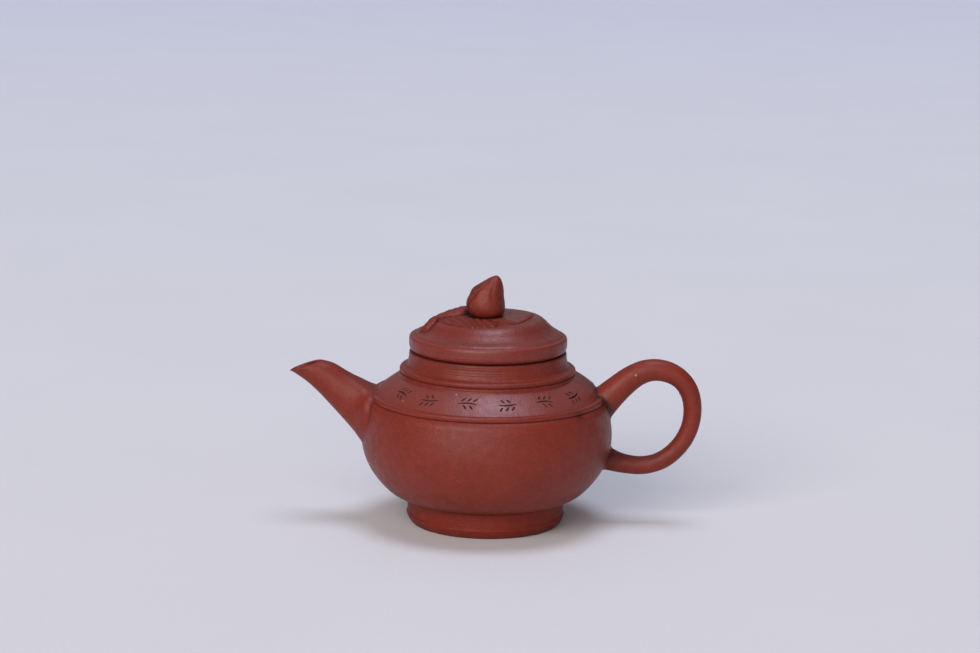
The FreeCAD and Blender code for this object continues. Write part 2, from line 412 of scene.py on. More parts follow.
    @staticmethod
    def cut(piece: Piece, cutter: Piece, finish: Material, cut_finish: Material) -> None:
        """Cut one piece out of another and throw the cutter away.

        Args:
            piece: the piece.
            cutter: what is cut out of it.
            finish: the piece's clay.
            cut_finish: the clay that shows in the cut.
        """
        piece.data.materials.append(finish)
        cutter.data.materials.append(cut_finish)
        Bench.hold(piece)
        modifier = piece.modifiers.new("cut", "BOOLEAN")
        modifier.operation = "DIFFERENCE"
        modifier.solver = "EXACT"
        modifier.material_mode = "TRANSFER"
        modifier.object = cutter
        bpy.ops.object.modifier_apply(modifier=modifier.name)
        bpy.data.objects.remove(cutter)

    @staticmethod
    def knead(piece: Piece, size: float, depth: float) -> None:
        """Make a surface slightly uneven, as clay worked by hand is.

        Args:
            piece: the piece.
            size: size of the dents and swellings.
            depth: how far they stand out or in.
        """
        Bench.hold(piece)
        texture = bpy.data.textures.new("unevenness", "CLOUDS")
        texture.noise_scale = size * MM
        texture.noise_depth = 1
        modifier = piece.modifiers.new("uneven", "DISPLACE")
        modifier.texture = texture
        modifier.texture_coords = "LOCAL"
        modifier.mid_level = 0.5
        modifier.strength = 2 * depth * MM
        bpy.ops.object.modifier_apply(modifier=modifier.name)
        bpy.data.textures.remove(texture)

    @staticmethod
    def paint_shade_and_residue(piece: Piece, amount: Callable[[Vector], float]) -> None:
        """Say how dark each point of a piece is painted, by painted shade and by dark residue.

        Args:
            piece: the piece.
            amount: gives 0 to 1 for a point in millimetres.
        """
        layer = piece.data.attributes.new(SHADE_AND_RESIDUE, "FLOAT", "POINT")
        values = [amount(vert.co / MM) for vert in piece.data.vertices]
        layer.data.foreach_set("value", values)

    @staticmethod
    def soften(piece: Piece, edge: Edge = Edge.CRISP) -> None:
        """Shade smooth, with edges sharper than an angle kept.

        Args:
            piece: the piece.
            edge: angle above which an edge stays sharp.
        """
        Bench.hold(piece)
        bpy.ops.object.shade_smooth_by_angle(angle=math.radians(edge.value))
        Bench.clear()


class Board:
    """Node tree of one material, with short calls for the nodes that the finishes use."""

    def __init__(self, name: str) -> None:
        """Start an empty material.

        Args:
            name: name of the material.
        """
        self.material = bpy.data.materials.new(name)
        self.material.use_nodes = True
        self.tree = self.material.node_tree
        self.tree.nodes.clear()

    def add(self, kind: str, **settings: object) -> bpy.types.Node:
        """Add a node and set its properties.

        Args:
            kind: type of the node.
            settings: its properties.

        Returns:
            The node.
        """
        node = self.tree.nodes.new(kind)
        for key, value in settings.items():
            setattr(node, key, value)
        return node

    def feed(self, node: bpy.types.Node, socket: str | int, value: object) -> None:
        """Link a source to a socket, or set the socket to a constant.

        Args:
            node: the node.
            socket: name or number of the socket.
            value: the source or the constant.
        """
        if isinstance(value, Socket):
            self.tree.links.new(value, node.inputs[socket])
        else:
            node.inputs[socket].default_value = value

    def millimetres(self, stretch: tuple[float, float, float] = (1, 1, 1)) -> Socket:
        """Object coordinates in millimetres, stretched along each axis.

        Args:
            stretch: factor along each axis.

        Returns:
            The coordinates.
        """
        source = self.add("ShaderNodeTexCoord")
        mapping = self.add("ShaderNodeMapping")
        self.feed(mapping, "Vector", source.outputs["Object"])
        self.feed(mapping, "Scale", tuple(1000 * share for share in stretch))
        return mapping.outputs["Vector"]

    def noise(self, place: Socket, size: float, detail: float = 2.0) -> Socket:
        """Noise with features of a size in millimetres.

        Args:
            place: coordinates in millimetres.
            size: size of its features.
            detail: how many finer layers it has.

        Returns:
            A value from 0 to 1.
        """
        node = self.add("ShaderNodeTexNoise")
        self.feed(node, "Vector", place)
        self.feed(node, "Scale", 1 / size)
        self.feed(node, "Detail", detail)
        return node.outputs["Fac"]

    def span(self, value: Socket, low: float, high: float,
             to_low: float = 0.0, to_high: float = 1.0) -> Socket:
        """Map a range of values to another, and clamp it.

        Args:
            value: the value.
            low: where its range starts.
            high: where its range ends.
            to_low: what low becomes.
            to_high: what high becomes.

        Returns:
            The mapped value.
        """
        node = self.add("ShaderNodeMapRange")
        self.feed(node, "Value", value)
        self.feed(node, "From Min", low)
        self.feed(node, "From Max", high)
        self.feed(node, "To Min", to_low)
        self.feed(node, "To Max", to_high)
        return node.outputs["Result"]

    def math(self, operation: str, first: object, second: object) -> Socket:
        """Arithmetic on two values.

        Args:
            operation: Blender's name of the operation.
            first: first value.
            second: second value.

        Returns:
            The result.
        """
        node = self.add("ShaderNodeMath", operation=operation)
        self.feed(node, 0, first)
        self.feed(node, 1, second)
        return node.outputs["Value"]

    def times(self, first: object, second: object) -> Socket:
        """Product of two values."""
        return self.math("MULTIPLY", first, second)

    def plus(self, first: object, second: object) -> Socket:
        """Sum of two values."""
        return self.math("ADD", first, second)

    def mix(self, share: object, first: object, second: object) -> Socket:
        """Blend two colours.

        Args:
            share: share of the second colour.
            first: first colour.
            second: second colour.

        Returns:
            The blended colour.
        """
        node = self.add("ShaderNodeMix", data_type="RGBA")
        self.feed(node, 0, share)
        self.feed(node, 6, first)
        self.feed(node, 7, second)
        return node.outputs[2]

    def grains(self, place: Socket, cell: float, share: float,
               radius: float) -> Socket:
        """Round grains scattered in some of the cells of a space.

        Args:
            place: coordinates in millimetres.
            cell: size of the cells.
            share: share of the cells that hold a grain.
            radius: radius of a grain, in cells.

        Returns:
            1 in the middle of a grain, fading to 0 at its edge.
        """
        node = self.add("ShaderNodeTexVoronoi")
        self.feed(node, "Vector", place)
        self.feed(node, "Scale", 1 / cell)
        parts = self.add("ShaderNodeSeparateColor")
        self.feed(parts, "Color", node.outputs["Color"])
        chosen = self.math("LESS_THAN", parts.outputs[0], share)
        disc = self.span(node.outputs["Distance"], 0.5 * radius, radius, 1.0, 0.0)
        return self.times(chosen, disc)

    def shade(self, colour: object, roughness: object, height: object, specular: float) -> Material:
        """Finish with a plain shader.

        Args:
            colour: base colour.
            roughness: roughness.
            height: bump height in millimetres.
            specular: specular level.

        Returns:
            The material.
        """
        bump = self.add("ShaderNodeBump")
        self.feed(bump, "Strength", 1.0)
        self.feed(bump, "Distance", MM)
        self.feed(bump, "Height", height)
        shader = self.add("ShaderNodeBsdfPrincipled")
        self.feed(shader, "Base Color", colour)
        self.feed(shader, "Roughness", roughness)
        self.feed(shader, "Specular IOR Level", specular)
        self.feed(shader, "Normal", bump.outputs["Normal"])
        output = self.add("ShaderNodeOutputMaterial")
        self.feed(output, "Surface", shader.outputs["BSDF"])
        return self.material


@dataclass(frozen=True)
class ClayFinish:
    """Unglazed red stoneware, fine and sandy with a dull satin sheen."""

    name: str
    working: Working
    deep: Colour = (0.176, 0.0186, 0.0094, 1)
    body: Colour = (0.198, 0.0225, 0.0114, 1)
    warm: Colour = (0.221, 0.0280, 0.0140, 1)
    dark: Colour = (0.040, 0.0085, 0.0060, 1)
    pale: Colour = (0.40, 0.20, 0.14, 1)
    roughness: float = 0.42
    specular: float = 0.27
    grain: float = 0.026
    grit: float = 0.060
    wheel_lines: float = 0.012
    cloud_size: float = 13.0
    mottle_size: float = 2.4
    mottle_depth: float = 0.08
    sand_size: float = 0.17
    grit_size: float = 0.5
    patch_size: float = 0.9
    pit_depth: float = 0.05
    quartz_rise: float = 0.02
    streak_size: float = 0.42
    streak_stretch: tuple[float, float, float] = (0.035, 0.035, 1)

    def material(self) -> Material:
        """Build the clay from noise, grains, pits, and the painted shade and residue of each point.

        Returns:
            The material.
        """
        board = Board(self.name)
        place = board.millimetres()
        cloud = board.noise(place, self.cloud_size, 3.0)
        mottle = board.noise(place, self.mottle_size, 5.0)
        sand = board.noise(place, self.sand_size, 3.0)
        grit = board.noise(place, self.grit_size, 2.0)
        colour = board.mix(board.span(cloud, 0.35, 0.65), self.deep, self.body)
        colour = board.mix(board.span(mottle, 0.4, 0.75, 0.0, 0.8), colour, self.warm)
        colour = board.mix(board.span(sand, 0.5, 0.8, 0.0, 0.35), colour, self.deep)
        colour = board.mix(board.span(grit, 0.35, 0.75, 0.0, 0.34), colour, self.dark)
        pits = board.grains(place, cell=0.9, share=0.30, radius=0.16)
        iron = board.grains(place, cell=0.7, share=0.05, radius=0.15)
        quartz = board.grains(place, cell=0.55, share=0.04, radius=0.19)
        # Pits are darkened as well as sunk: painted shade in them.
        colour = board.mix(board.times(pits, 0.35), colour, self.dark)
        colour = board.mix(board.times(iron, 0.5), colour, self.dark)
        colour = board.mix(board.times(quartz, 0.55), colour, self.pale)
        # Darken each point by its attribute: painted shade in creases, gaps, under things and on shaded
        # sides, with dark slip and patina.
        darkening = board.add("ShaderNodeAttribute", attribute_name=SHADE_AND_RESIDUE).outputs["Fac"]
        patchy = board.span(board.noise(place, self.patch_size, 3.0), 0.25, 0.75, -0.25, 0.25)
        patchy = board.times(patchy, board.span(darkening, 0.0, 0.2))
        darkening = board.plus(darkening, patchy)
        colour = board.mix(board.span(darkening, 0.0, 1.0), colour, self.dark)
        height = board.times(sand, self.grain)
        height = board.plus(height, board.times(mottle, self.mottle_depth))
        height = board.plus(height, board.times(grit, self.grit))
        height = board.math("SUBTRACT", height, board.times(pits, self.pit_depth))
        height = board.plus(height, board.times(quartz, self.quartz_rise))
        if self.working is Working.TURNED:
            streaks = board.noise(board.millimetres(self.streak_stretch), self.streak_size, 3.0)
            height = board.plus(height, board.times(streaks, self.wheel_lines))
        satin = board.span(mottle, 0.3, 0.7, self.roughness + 0.06, self.roughness - 0.05)
        return board.shade(colour, satin, height, self.specular)


@dataclass(frozen=True)
class FloorFinish:
    """Plain pale paper floor, with painted shade that makes it darker and a little bluer far away."""

    near: Colour = (0.720, 0.666, 0.658, 1)
    far: Colour = (0.572, 0.567, 0.650, 1)
    smudge: Colour = (0.42, 0.41, 0.45, 1)
    fade_start: float = -200.0
    fade_end: float = 2300.0
    smudge_size: float = 90.0
    fibre_size: float = 1.6
    fibre_height: float = 0.08
    roughness: float = 0.85
    specular: float = 0.2

    def material(self) -> Material:
        """Build the floor's paper.

        Returns:
            The material.
        """
        board = Board("pale_floor")
        place = board.millimetres()
        axes = board.add("ShaderNodeSeparateXYZ")
        board.feed(axes, "Vector", place)
        # Painted shade: the paper darkens and turns bluer with distance.
        away = board.span(axes.outputs["Y"], self.fade_start, self.fade_end)
        colour = board.mix(away, self.near, self.far)
        cloud = board.span(board.noise(place, self.smudge_size, 4.0), 0.3, 0.7, 0.0, 0.07)
        colour = board.mix(cloud, colour, self.smudge)
        fibre = board.times(board.noise(place, self.fibre_size, 4.0), self.fibre_height)
        return board.shade(colour, self.roughness, fibre, self.specular)


def settle(piece: Piece, body: Body, finish: Material, *nodes: str) -> Piece:
    """Give a piece its finish and its body, and hide the solids that it stands for.

    Args:
        piece: the piece.
        body: the body that it rides on.
        finish: its clay.
        nodes: the CAD nodes that it replaces.

    Returns:
        The piece.
    """
    if not piece.data.materials:
        piece.data.materials.append(finish)
    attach(piece, body.value)
    if nodes:
        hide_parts(*nodes)
    log.info("%s: %d faces on %s", piece.name, len(piece.data.polygons), body.value)
    return piece


@dataclass(frozen=True)
class PotSizes:
    """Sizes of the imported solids, which the dressed pieces keep to."""

    foot_radius: float
    foot_height: float
    belly_radius: float
    bowl_top: float
    string_radius: float
    string_top: float
    shoulder_top: float
    step_radius: float
    step_top: float
    mouth_radius: float
    lid_radius: float
    lid_seat: float
    lid_top: float
    flange_top: float
    floor_radius: float
    floor_top: float
    knob_top: float
    wall: float = 2.6
    upper_bowl_height: float = 10.1
    bowl_edge_inset: float = 1.2
    bowl_edge_drop: float = 1.8
    groove_depth: float = 1.4
    shoulder_radius: float = 30.7
    shoulder_crown: float = 0.25
    bowl_swell: tuple[Point, ...] = ((0.0, 0.0), (0.317, 0.076), (0.571, 0.238), (0.84, 0.517), (1.0, 1.0))
    fill_reach: float = 1.3

    @classmethod
    def from_frame(cls, flange_clearance: float = 0.3) -> "PotSizes":
        """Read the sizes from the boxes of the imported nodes.

        Args:
            flange_clearance: room between the lid's flange and the mouth.

        Returns:
            The sizes in millimetres.
        """
        reach = {name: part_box(name)[1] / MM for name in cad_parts}
        return cls(
            foot_radius=reach["foot_ring"].x,
            foot_height=reach["foot_ring"].z,
            belly_radius=reach["bowl"].y,
            bowl_top=reach["bowl"].z,
            string_radius=reach["string_ring"].y,
            string_top=reach["string_ring"].z,
            shoulder_top=reach["shoulder_plate"].z,
            step_radius=reach["neck_step"].y,
            step_top=reach["neck_step"].z,
            mouth_radius=reach["lid_flange"].y + flange_clearance,
            lid_radius=reach["lid_plate"].y,
            lid_seat=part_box("lid_plate")[0].z / MM,
            lid_top=reach["lid_plate"].z,
            flange_top=reach["lid_flange"].z,
            floor_radius=reach["base_disc"].y,
            floor_top=reach["base_disc"].z,
            knob_top=reach["peach_knob"].z,
        )

    @property
    def belly_height(self) -> float:
        """Height of the widest ring of the bowl."""
        return self.bowl_top - self.upper_bowl_height

    @property
    def groove_radius(self) -> float:
        """Radius of the groove above the bowl."""
        return self.belly_radius - self.bowl_edge_inset - self.groove_depth

    def bowl_outline(self, count: int = 90) -> np.ndarray:
        """Outside of the bowl from the foot to its upper edge.

        Args:
            count: number of points.

        Returns:
            Rows of radius and height.
        """
        root = np.array([self.foot_radius + 0.1, self.foot_height])
        belly = np.array([self.belly_radius, self.belly_height])
        points = [root + (belly - root) * np.array(share) for share in self.bowl_swell]
        edge = (self.belly_radius - self.bowl_edge_inset, self.bowl_top - self.bowl_edge_drop)
        return spline_through([*points, edge], count)

    @cached_property
    def outline_table(self) -> np.ndarray:
        """Outside of the bowl, worked out once for many lookups."""
        return self.bowl_outline(60)

    @cached_property
    def skin_table(self) -> np.ndarray:
        """Outside of the pot with its grooves filled up, as slip fills them at a joint.

        Returns:
            Rows of height and radius.
        """
        heights = np.arange(self.foot_height, self.shoulder_top + 2.0, 0.1)
        steps = np.linspace(-self.fill_reach, self.fill_reach, 14)
        radii = [np.mean([self.outside(height + step) for step in steps]) for height in heights]
        return np.stack([heights, radii], axis=1)

    def skin(self, height: float) -> float:
        """Radius at a height of the pot's outside with its grooves filled up."""
        return float(np.interp(height, self.skin_table[:, 0], self.skin_table[:, 1]))

    def gap(self, point: Vector) -> float:
        """How far a point stands out of the pot's filled-up outside, measured level."""
        return math.hypot(point.x, point.y) - self.skin(point.z)

    def outside(self, height: float) -> float:
        """Radius of the pot's outside at a height, without spout and handle.

        Args:
            height: height above the table.

        Returns:
            The radius.
        """
        if height <= self.bowl_top:
            return float(np.interp(height, self.outline_table[:, 1], self.outline_table[:, 0]))
        if height <= self.string_top:
            return self.string_radius
        share = min(1.0, (height - self.string_top) / (self.shoulder_top - self.string_top))
        return self.shoulder_radius + (self.step_radius - self.shoulder_radius) * share


@dataclass(frozen=True)
class Luting:
    """How the skin of a limb, such as the spout, runs down to the body and spreads out on it."""

    sizes: PotSizes
    middle: Vector
    sink: float = 1.2
    bend_points: int = 9

    def on_body(self, point: Vector, depth: float) -> Vector:
        """The point moved level to a depth under the body's outside.

        Args:
            point: the point.
            depth: depth under the body's outside.

        Returns:
            The moved point.
        """
        radius = math.hypot(point.x, point.y)
        share = (self.sizes.skin(point.z) - depth) / radius
        return Vector((point.x * share, point.y * share, point.z))

    def lifted(self, point: Vector) -> Vector:
        """The point, brought out to the sink's depth where it lies deeper under the body's outside."""
        return point if self.sizes.gap(point) > -self.sink else self.on_body(point, self.sink)

    def run(self, line: Sequence[Vector], reach: float, count: int) -> list[Vector]:
        """Lead one line of the skin into the body.

        Args:
            line: points from inside the body outwards.
            reach: size of the round between the limb and the body.
            count: number of points to return.

        Returns:
            Points from under the body's skin, round the joint and on to the line's far end.
        """
        first = next(number for number, point in enumerate(line) if self.sizes.gap(point) > 0)
        first = max(1, first)
        inner = self.sizes.gap(line[first - 1])
        outer = self.sizes.gap(line[first])
        share = min(1.0, max(0.0, inner / (inner - outer)))
        joint = line[first - 1].lerp(line[first], share)
        rest = [joint, *line[first:]]
        steps = [0.0]
        for here, there in zip(rest, rest[1:]):
            steps.append(steps[-1] + (there - here).length)
        table = np.array([list(point) for point in rest])
        marks = np.linspace(reach, steps[-1], count - self.bend_points - 1)
        skin = [Vector([np.interp(mark, steps, table[:, axis]) for axis in range(3)]) for mark in marks]
        away = joint - self.middle
        around = Vector((-joint.y, joint.x, 0)).normalized()
        slope = Vector((joint.x, joint.y, 0)).normalized() * (
            self.sizes.skin(joint.z + 0.3) - self.sizes.skin(joint.z - 0.3)) / 0.6
        upward = (slope + Vector((0, 0, 1))).normalized()
        spread = (around * away.dot(around) + upward * away.dot(upward)).normalized()
        landing = self.on_body(joint + spread * reach, 0.05)
        bend = []
        for turn in np.linspace(0.0, 1.0, self.bend_points, endpoint=False):
            bend.append(landing * (1 - turn) ** 2 + joint * 2 * turn * (1 - turn) + skin[0] * turn ** 2)
        return [self.on_body(landing, self.sink), *bend, *skin]


@dataclass
class Pot:
    """The turned pieces of the pot: foot, bowl, string, shoulder and neck.

    Lines are the pitch and depth of wheel lines, and dents the size and depth of unevenness.
    """

    sizes: PotSizes
    clay: Material
    foot_clay: Material
    shoulder_clay: Material
    cut_shade_and_residue_clay: Material
    steps: int = 224
    shoulder_steps: int = 360
    foot_wall: float = 4.2
    foot_bevel_width: float = 1.8
    foot_bevel_height: float = 2.4
    foot_ridge: float = 0.26
    foot_fillet: float = 0.9
    string_round: float = 0.5
    strainer_radius: float = 4.2
    strainer_height: float = 4.6
    collar_flare: float = 0.6
    collar_swell: float = 0.25
    collar_edge: float = 0.65
    bead_round: float = 0.32
    mound_height: float = 1.2
    mound_spread: float = 22.0
    bowl_crest: Point = (0.32, 0.66)
    foot_lines: Point = (0.8, 0.035)
    bowl_lines: Point = (2.2, 0.06)
    collar_lines: Point = (0.75, 0.045)
    foot_dents: Point = (9.0, 0.07)
    bowl_dents: Point = (15.0, 0.07)
    bowl_ripples: Point = (3.5, 0.018)
    string_dents: Point = (7.0, 0.05)
    shoulder_dents: Point = (11.0, 0.05)
    neck_dents: Point = (12.0, 0.05)

    def foot(self) -> Piece:
        """Foot ring with a rounded bevel, a fine ridge above it and wheel lines.

        Returns:
            The piece.
        """
        outer = self.sizes.foot_radius
        top = self.sizes.foot_height
        bore = outer - self.foot_wall
        rest = (outer - self.foot_bevel_width, 0.0)
        side = (outer, self.foot_bevel_height)
        profile = [(bore, top), *straight((bore, top - 0.4), (bore, 0.4), 12)]
        profile += rounded((bore, 0.4), (bore, 0.0), (bore + 0.4, 0.0), 5)
        profile += rounded(rest, (outer - 0.5 * self.foot_bevel_width, 0.0), side, 12)
        profile += rounded((outer + 0.03, side[1] + 0.15), (outer + 0.06, side[1] + 0.4),
                           (outer - self.foot_ridge, side[1] + 0.6), 5)
        wall_top = (outer - 0.5 * self.foot_ridge, top - self.foot_fillet)
        wall = straight((outer - self.foot_ridge, side[1] + 0.75), wall_top, 30)
        profile += wheel_marked(wall, *self.foot_lines)
        profile += rounded(wall_top, (outer, top + 0.05),
                           (outer + 1.2 * self.foot_fillet, top + 0.36 * self.foot_fillet), 8)
        profile.append((outer, top + 0.5))
        piece = Bench.turn("foot_ring_clay", profile, self.steps)
        Bench.knead(piece, *self.foot_dents)
        for vert in piece.data.vertices:
            vert.co.z = max(0.0, vert.co.z)
        # Painted shade under the bowl, at the table and over the bevel.
        Bench.paint_shade_and_residue(piece, self.foot_painted_shade)
        Bench.soften(piece)
        return settle(piece, Body.POT, self.foot_clay, "foot_ring")

    def foot_painted_shade(self, at: Vector) -> float:
        """Painted shade under the bowl, at the table and over the bevel, which faces down.

        Args:
            at: the point in millimetres.

        Returns:
            How dark the shade is painted there, 0 to 1.
        """
        top = self.sizes.foot_height
        bevel = 0.14 * smooth_step(self.foot_bevel_height, self.foot_bevel_height - 0.6, at.z)
        return 0.22 * smooth_step(top - 0.8, top, at.z) + 0.35 * hump(at.z, 0.3) + bevel

    def bowl(self) -> Piece:
        """Bowl with a sloping upper edge, throwing lines inside and the hole of the strainer.

        Returns:
            The piece.
        """
        sizes = self.sizes
        outline = sizes.bowl_outline() - np.array([0.6 * self.bowl_dents[1], 0.0])
        along = np.gradient(outline, axis=0)
        along /= np.linalg.norm(along, axis=1)[:, None]
        inner = outline - sizes.wall * np.stack([along[:, 1], -along[:, 0]], axis=1)
        inner = inner[(inner[:, 0] > sizes.floor_radius + 1.5) & (inner[:, 1] < sizes.bowl_top - 0.6)]
        edge = tuple(outline[-1])
        groove = (sizes.groove_radius, sizes.bowl_top)
        profile = [(sizes.floor_radius, sizes.foot_height)]
        profile += [tuple(point) for point in outline[:-1]]
        crest_in, crest_up = self.bowl_crest
        crest = (edge[0] - crest_in * (edge[0] - groove[0]), edge[1] + crest_up * (groove[1] - edge[1]))
        profile += rounded(edge, crest, groove, 12)
        profile.append((sizes.groove_radius - sizes.wall, sizes.bowl_top))
        profile += wheel_marked(inner[::-1], *self.bowl_lines)
        profile.append((sizes.floor_radius, sizes.floor_top))
        piece = Bench.turn("bowl_clay", profile, self.steps)
        Bench.knead(piece, *self.bowl_dents)
        Bench.knead(piece, *self.bowl_ripples)
        Bench.clear()
        bpy.ops.mesh.primitive_cylinder_add(
            vertices=48, radius=self.strainer_radius * MM, depth=4 * sizes.wall * MM,
            location=Vector((-sizes.belly_radius, 0, sizes.belly_height + self.strainer_height)) * MM,
            rotation=(0, math.pi / 2, 0))
        Bench.cut(piece, Bench.name_new("strainer_seat"), self.clay, self.clay)
        Bench.paint_shade_and_residue(piece, self.bowl_shade_and_slip)
        Bench.soften(piece)
        return settle(piece, Body.POT, self.clay, "bowl")

    def bowl_shade_and_slip(self, at: Vector) -> float:
        """Painted shade in the groove above the bowl and at its root over the foot, and dark slip under the
        handle's root.

        Args:
            at: the point in millimetres.

        Returns:
            How dark it is painted there, 0 to 1.
        """
        sizes = self.sizes
        # Painted shade in the groove and at the root over the foot; dark slip at the handle's root.
        groove = 0.15 * smooth_step(sizes.bowl_top - 0.3, sizes.bowl_top, at.z)
        foot = 0.25 * hump(at.z - sizes.foot_height, 0.9)
        root = 0.6 * hump((at - Vector((33.0, 0.0, 32.5))).length, 5.5)
        return groove + foot + root * smooth_step(31.0, 33.5, at.z) + self.slip_smear(at)

    def string(self) -> Piece:
        """Raised string over the joint of bowl and shoulder.

        Returns:
            The piece.
        """
        sizes = self.sizes
        low = sizes.bowl_top + 0.05
        high = sizes.string_top + 0.05
        nose = sizes.string_radius
        bore = nose - 1.6
        middle = 0.5 * (low + high)
        profile = [(bore, low)]
        profile += rounded((nose - 0.5 * self.string_round, low), (nose, low), (nose, middle), 8)
        profile += rounded((nose, middle), (nose, high), (nose - 1.4 * self.string_round, high), 8)[1:]
        profile.append((bore, high))
        piece = Bench.turn("string_clay", profile, self.steps)
        Bench.knead(piece, *self.string_dents)
        # Painted shade at the foot of the string, where it meets the groove, with dark slip from the handle.
        Bench.paint_shade_and_residue(piece, lambda at: 0.15 * smooth_step(low + 0.3, low, at.z) + self.handle_residue(at)
                    + self.slip_smear(at))
        Bench.soften(piece, Edge.SOFT)
        return settle(piece, Body.POT, self.clay, "string_ring")

    def handle_residue(self, at: Vector) -> float:
        """Dark slip round the upper root of the handle."""
        return 0.95 * hump((at - Vector((30.5, 0.0, 36.8))).length, 6.2)

    def slip_smear(self, at: Vector) -> float:
        """Dark smear of slip that runs along the groove from the handle, and a spot at its end.

        Args:
            at: the point in millimetres.

        Returns:
            How much residue clings there, 0 to 1.
        """
        degrees = abs(math.degrees(math.atan2(at.y, at.x)))
        near = hump(at.z - self.sizes.bowl_top, 1.1)
        return (0.4 * smooth_step(36.0, 8.0, degrees) + 0.85 * hump(degrees - 40.0, 2.8)) * near

    def slope(self, share: float) -> Point:
        """Point on the shoulder's face, from its lower edge at 0 to the neck at 1.

        Args:
            share: share of the way up.

        Returns:
            Radius and height.
        """
        sizes = self.sizes
        low = np.array([sizes.shoulder_radius, sizes.string_top])
        high = np.array([sizes.step_radius, sizes.shoulder_top])
        way = high - low
        out = np.array([way[1], -way[0]]) / np.linalg.norm(way)
        crown = sizes.shoulder_crown * 4 * share * (1 - share)
        return tuple(low + way * share + out * crown)

    def shoulder(self) -> Piece:
        """Sloping shoulder with a ring of carved sprigs.

        Returns:
            The piece.
        """
        sizes = self.sizes
        run = sizes.shoulder_radius - sizes.step_radius
        rise = sizes.shoulder_top - sizes.string_top
        drop = sizes.wall * math.hypot(run, rise) / run
        ceiling = sizes.shoulder_top - sizes.wall
        skirt = sizes.groove_radius - sizes.wall
        profile = [self.slope(share) for share in np.linspace(0.0, 1.0, 40)]
        profile += [
            (sizes.step_radius - 0.2, sizes.shoulder_top),
            (sizes.mouth_radius, sizes.shoulder_top),
            (sizes.mouth_radius, ceiling),
            (sizes.step_radius - (drop - sizes.wall) * run / rise, ceiling),
            (skirt, sizes.bowl_top),
            (sizes.string_radius - 1.5, sizes.bowl_top),
            (sizes.string_radius - 1.5, sizes.string_top - 0.3),
            (sizes.shoulder_radius, sizes.string_top - 0.3),
        ]
        piece = Bench.turn("shoulder_clay", profile, self.shoulder_steps)
        for vert in piece.data.vertices:
            if vert.co.z >= (sizes.string_top - 0.05) * MM and vert.co.xy.length > sizes.mouth_radius * MM:
                vert.co.z += self.slip_mound(vert.co / MM) * MM
        Bench.knead(piece, *self.shoulder_dents)
        Bench.cut(piece, SprigCarving(self).cutter(), self.shoulder_clay, self.cut_shade_and_residue_clay)
        Bench.paint_shade_and_residue(piece, self.shoulder_shade_and_slip)
        Bench.soften(piece)
        return settle(piece, Body.POT, self.shoulder_clay, "shoulder_plate")

    def slip_mound(self, at: Vector) -> float:
        """How far the slip that holds the handle raises the shoulder behind it.

        Args:
            at: the point in millimetres.

        Returns:
            The rise in millimetres.
        """
        degrees = math.degrees(math.atan2(at.y, at.x))
        clear = smooth_step(0.0, 1.5, at.z - self.sizes.string_top)
        return self.mound_height * hump(degrees, self.mound_spread) * clear

    def shoulder_shade_and_slip(self, at: Vector) -> float:
        """Painted shade along both edges of the shoulder, where it meets the string and the neck, and dark
        slip round the handle's root.

        Args:
            at: the point in millimetres.

        Returns:
            How dark it is painted there, 0 to 1.
        """
        # Painted shade at the lower and upper edges.
        low = 0.1 * smooth_step(self.sizes.string_top + 0.6, self.sizes.string_top, at.z)
        high = 0.15 * smooth_step(self.sizes.shoulder_top - 0.7, self.sizes.shoulder_top, at.z)
        return low + high + self.handle_residue(at)

    def neck(self) -> Piece:
        """Neck in one turning: bead, crease, rounded step and waisted collar with wheel lines.

        Returns:
            The piece.
        """
        sizes = self.sizes
        bore = sizes.mouth_radius
        bead = self.bead_round
        foot = sizes.shoulder_top
        step = sizes.step_radius
        root = (step + 0.5, foot - 0.7)
        crease = (step - 0.3, foot + 1.05)
        wall = sizes.lid_radius + self.collar_swell
        ledge = (wall + self.collar_flare + 0.6, sizes.step_top - 0.12)
        collar_root = (wall + 0.6 * self.collar_flare, sizes.step_top + 0.9)
        collar_top = (wall, sizes.lid_seat - self.collar_edge)
        seat = (wall - self.collar_edge, sizes.lid_seat)
        profile = [(bore, foot - 0.7), root]
        bead_foot = (step + 0.12, foot + 0.3)
        bead_top = (crease[0] + 0.1, crease[1] - 0.1)
        profile += rounded((step + 0.25, foot), (step + 0.15, foot + 0.1), bead_foot, 4)
        profile += rounded(bead_foot, (step + bead, foot + 0.85), bead_top, 7)[1:]
        profile.append(crease)
        profile += rounded((step - 0.15, foot + 1.2), (step + 0.45, sizes.step_top - 0.25), ledge, 16)
        profile += rounded(ledge, (wall + self.collar_flare - 0.1, sizes.step_top), collar_root, 9)[1:-1]
        collar = bowed(collar_root, collar_top, 0.1, 30)
        profile += wheel_marked(collar, *self.collar_lines)
        profile += rounded(collar_top, (wall, sizes.lid_seat), seat, 6)
        profile.append((bore + 0.3, sizes.lid_seat))
        profile += straight((bore, sizes.lid_seat - 0.3), (bore, foot), 8)
        piece = Bench.turn("neck_clay", profile, self.steps)
        Bench.knead(piece, *self.neck_dents)
        Bench.paint_shade_and_residue(piece, lambda at: self.neck_shade_and_patina(at, crease))
        Bench.soften(piece, Edge.ROUND)
        return settle(piece, Body.POT, self.clay, "neck_step", "neck_collar")

    def neck_shade_and_patina(self, at: Vector, crease: Point) -> float:
        """Painted shade in the neck's crease and in the gap under the lid, over a faint patina of the whole
        neck.

        Args:
            at: the point in millimetres.
            crease: radius and height of the crease.

        Returns:
            How dark it is painted there, 0 to 1.
        """
        radius = math.hypot(at.x, at.y)
        # Painted shade in the crease and in the gap at the seat.
        line = 0.35 * hump(at.z - crease[1], 0.16) * smooth_step(crease[0] - 1.0, crease[0], radius)
        seat = 0.5 * smooth_step(self.sizes.lid_seat - 0.5, self.sizes.lid_seat, at.z)
        return 0.07 + line + seat

    def build(self) -> None:
        """Build all the turned pieces."""
        self.foot()
        self.bowl()
        self.string()
        self.shoulder()
        self.neck()


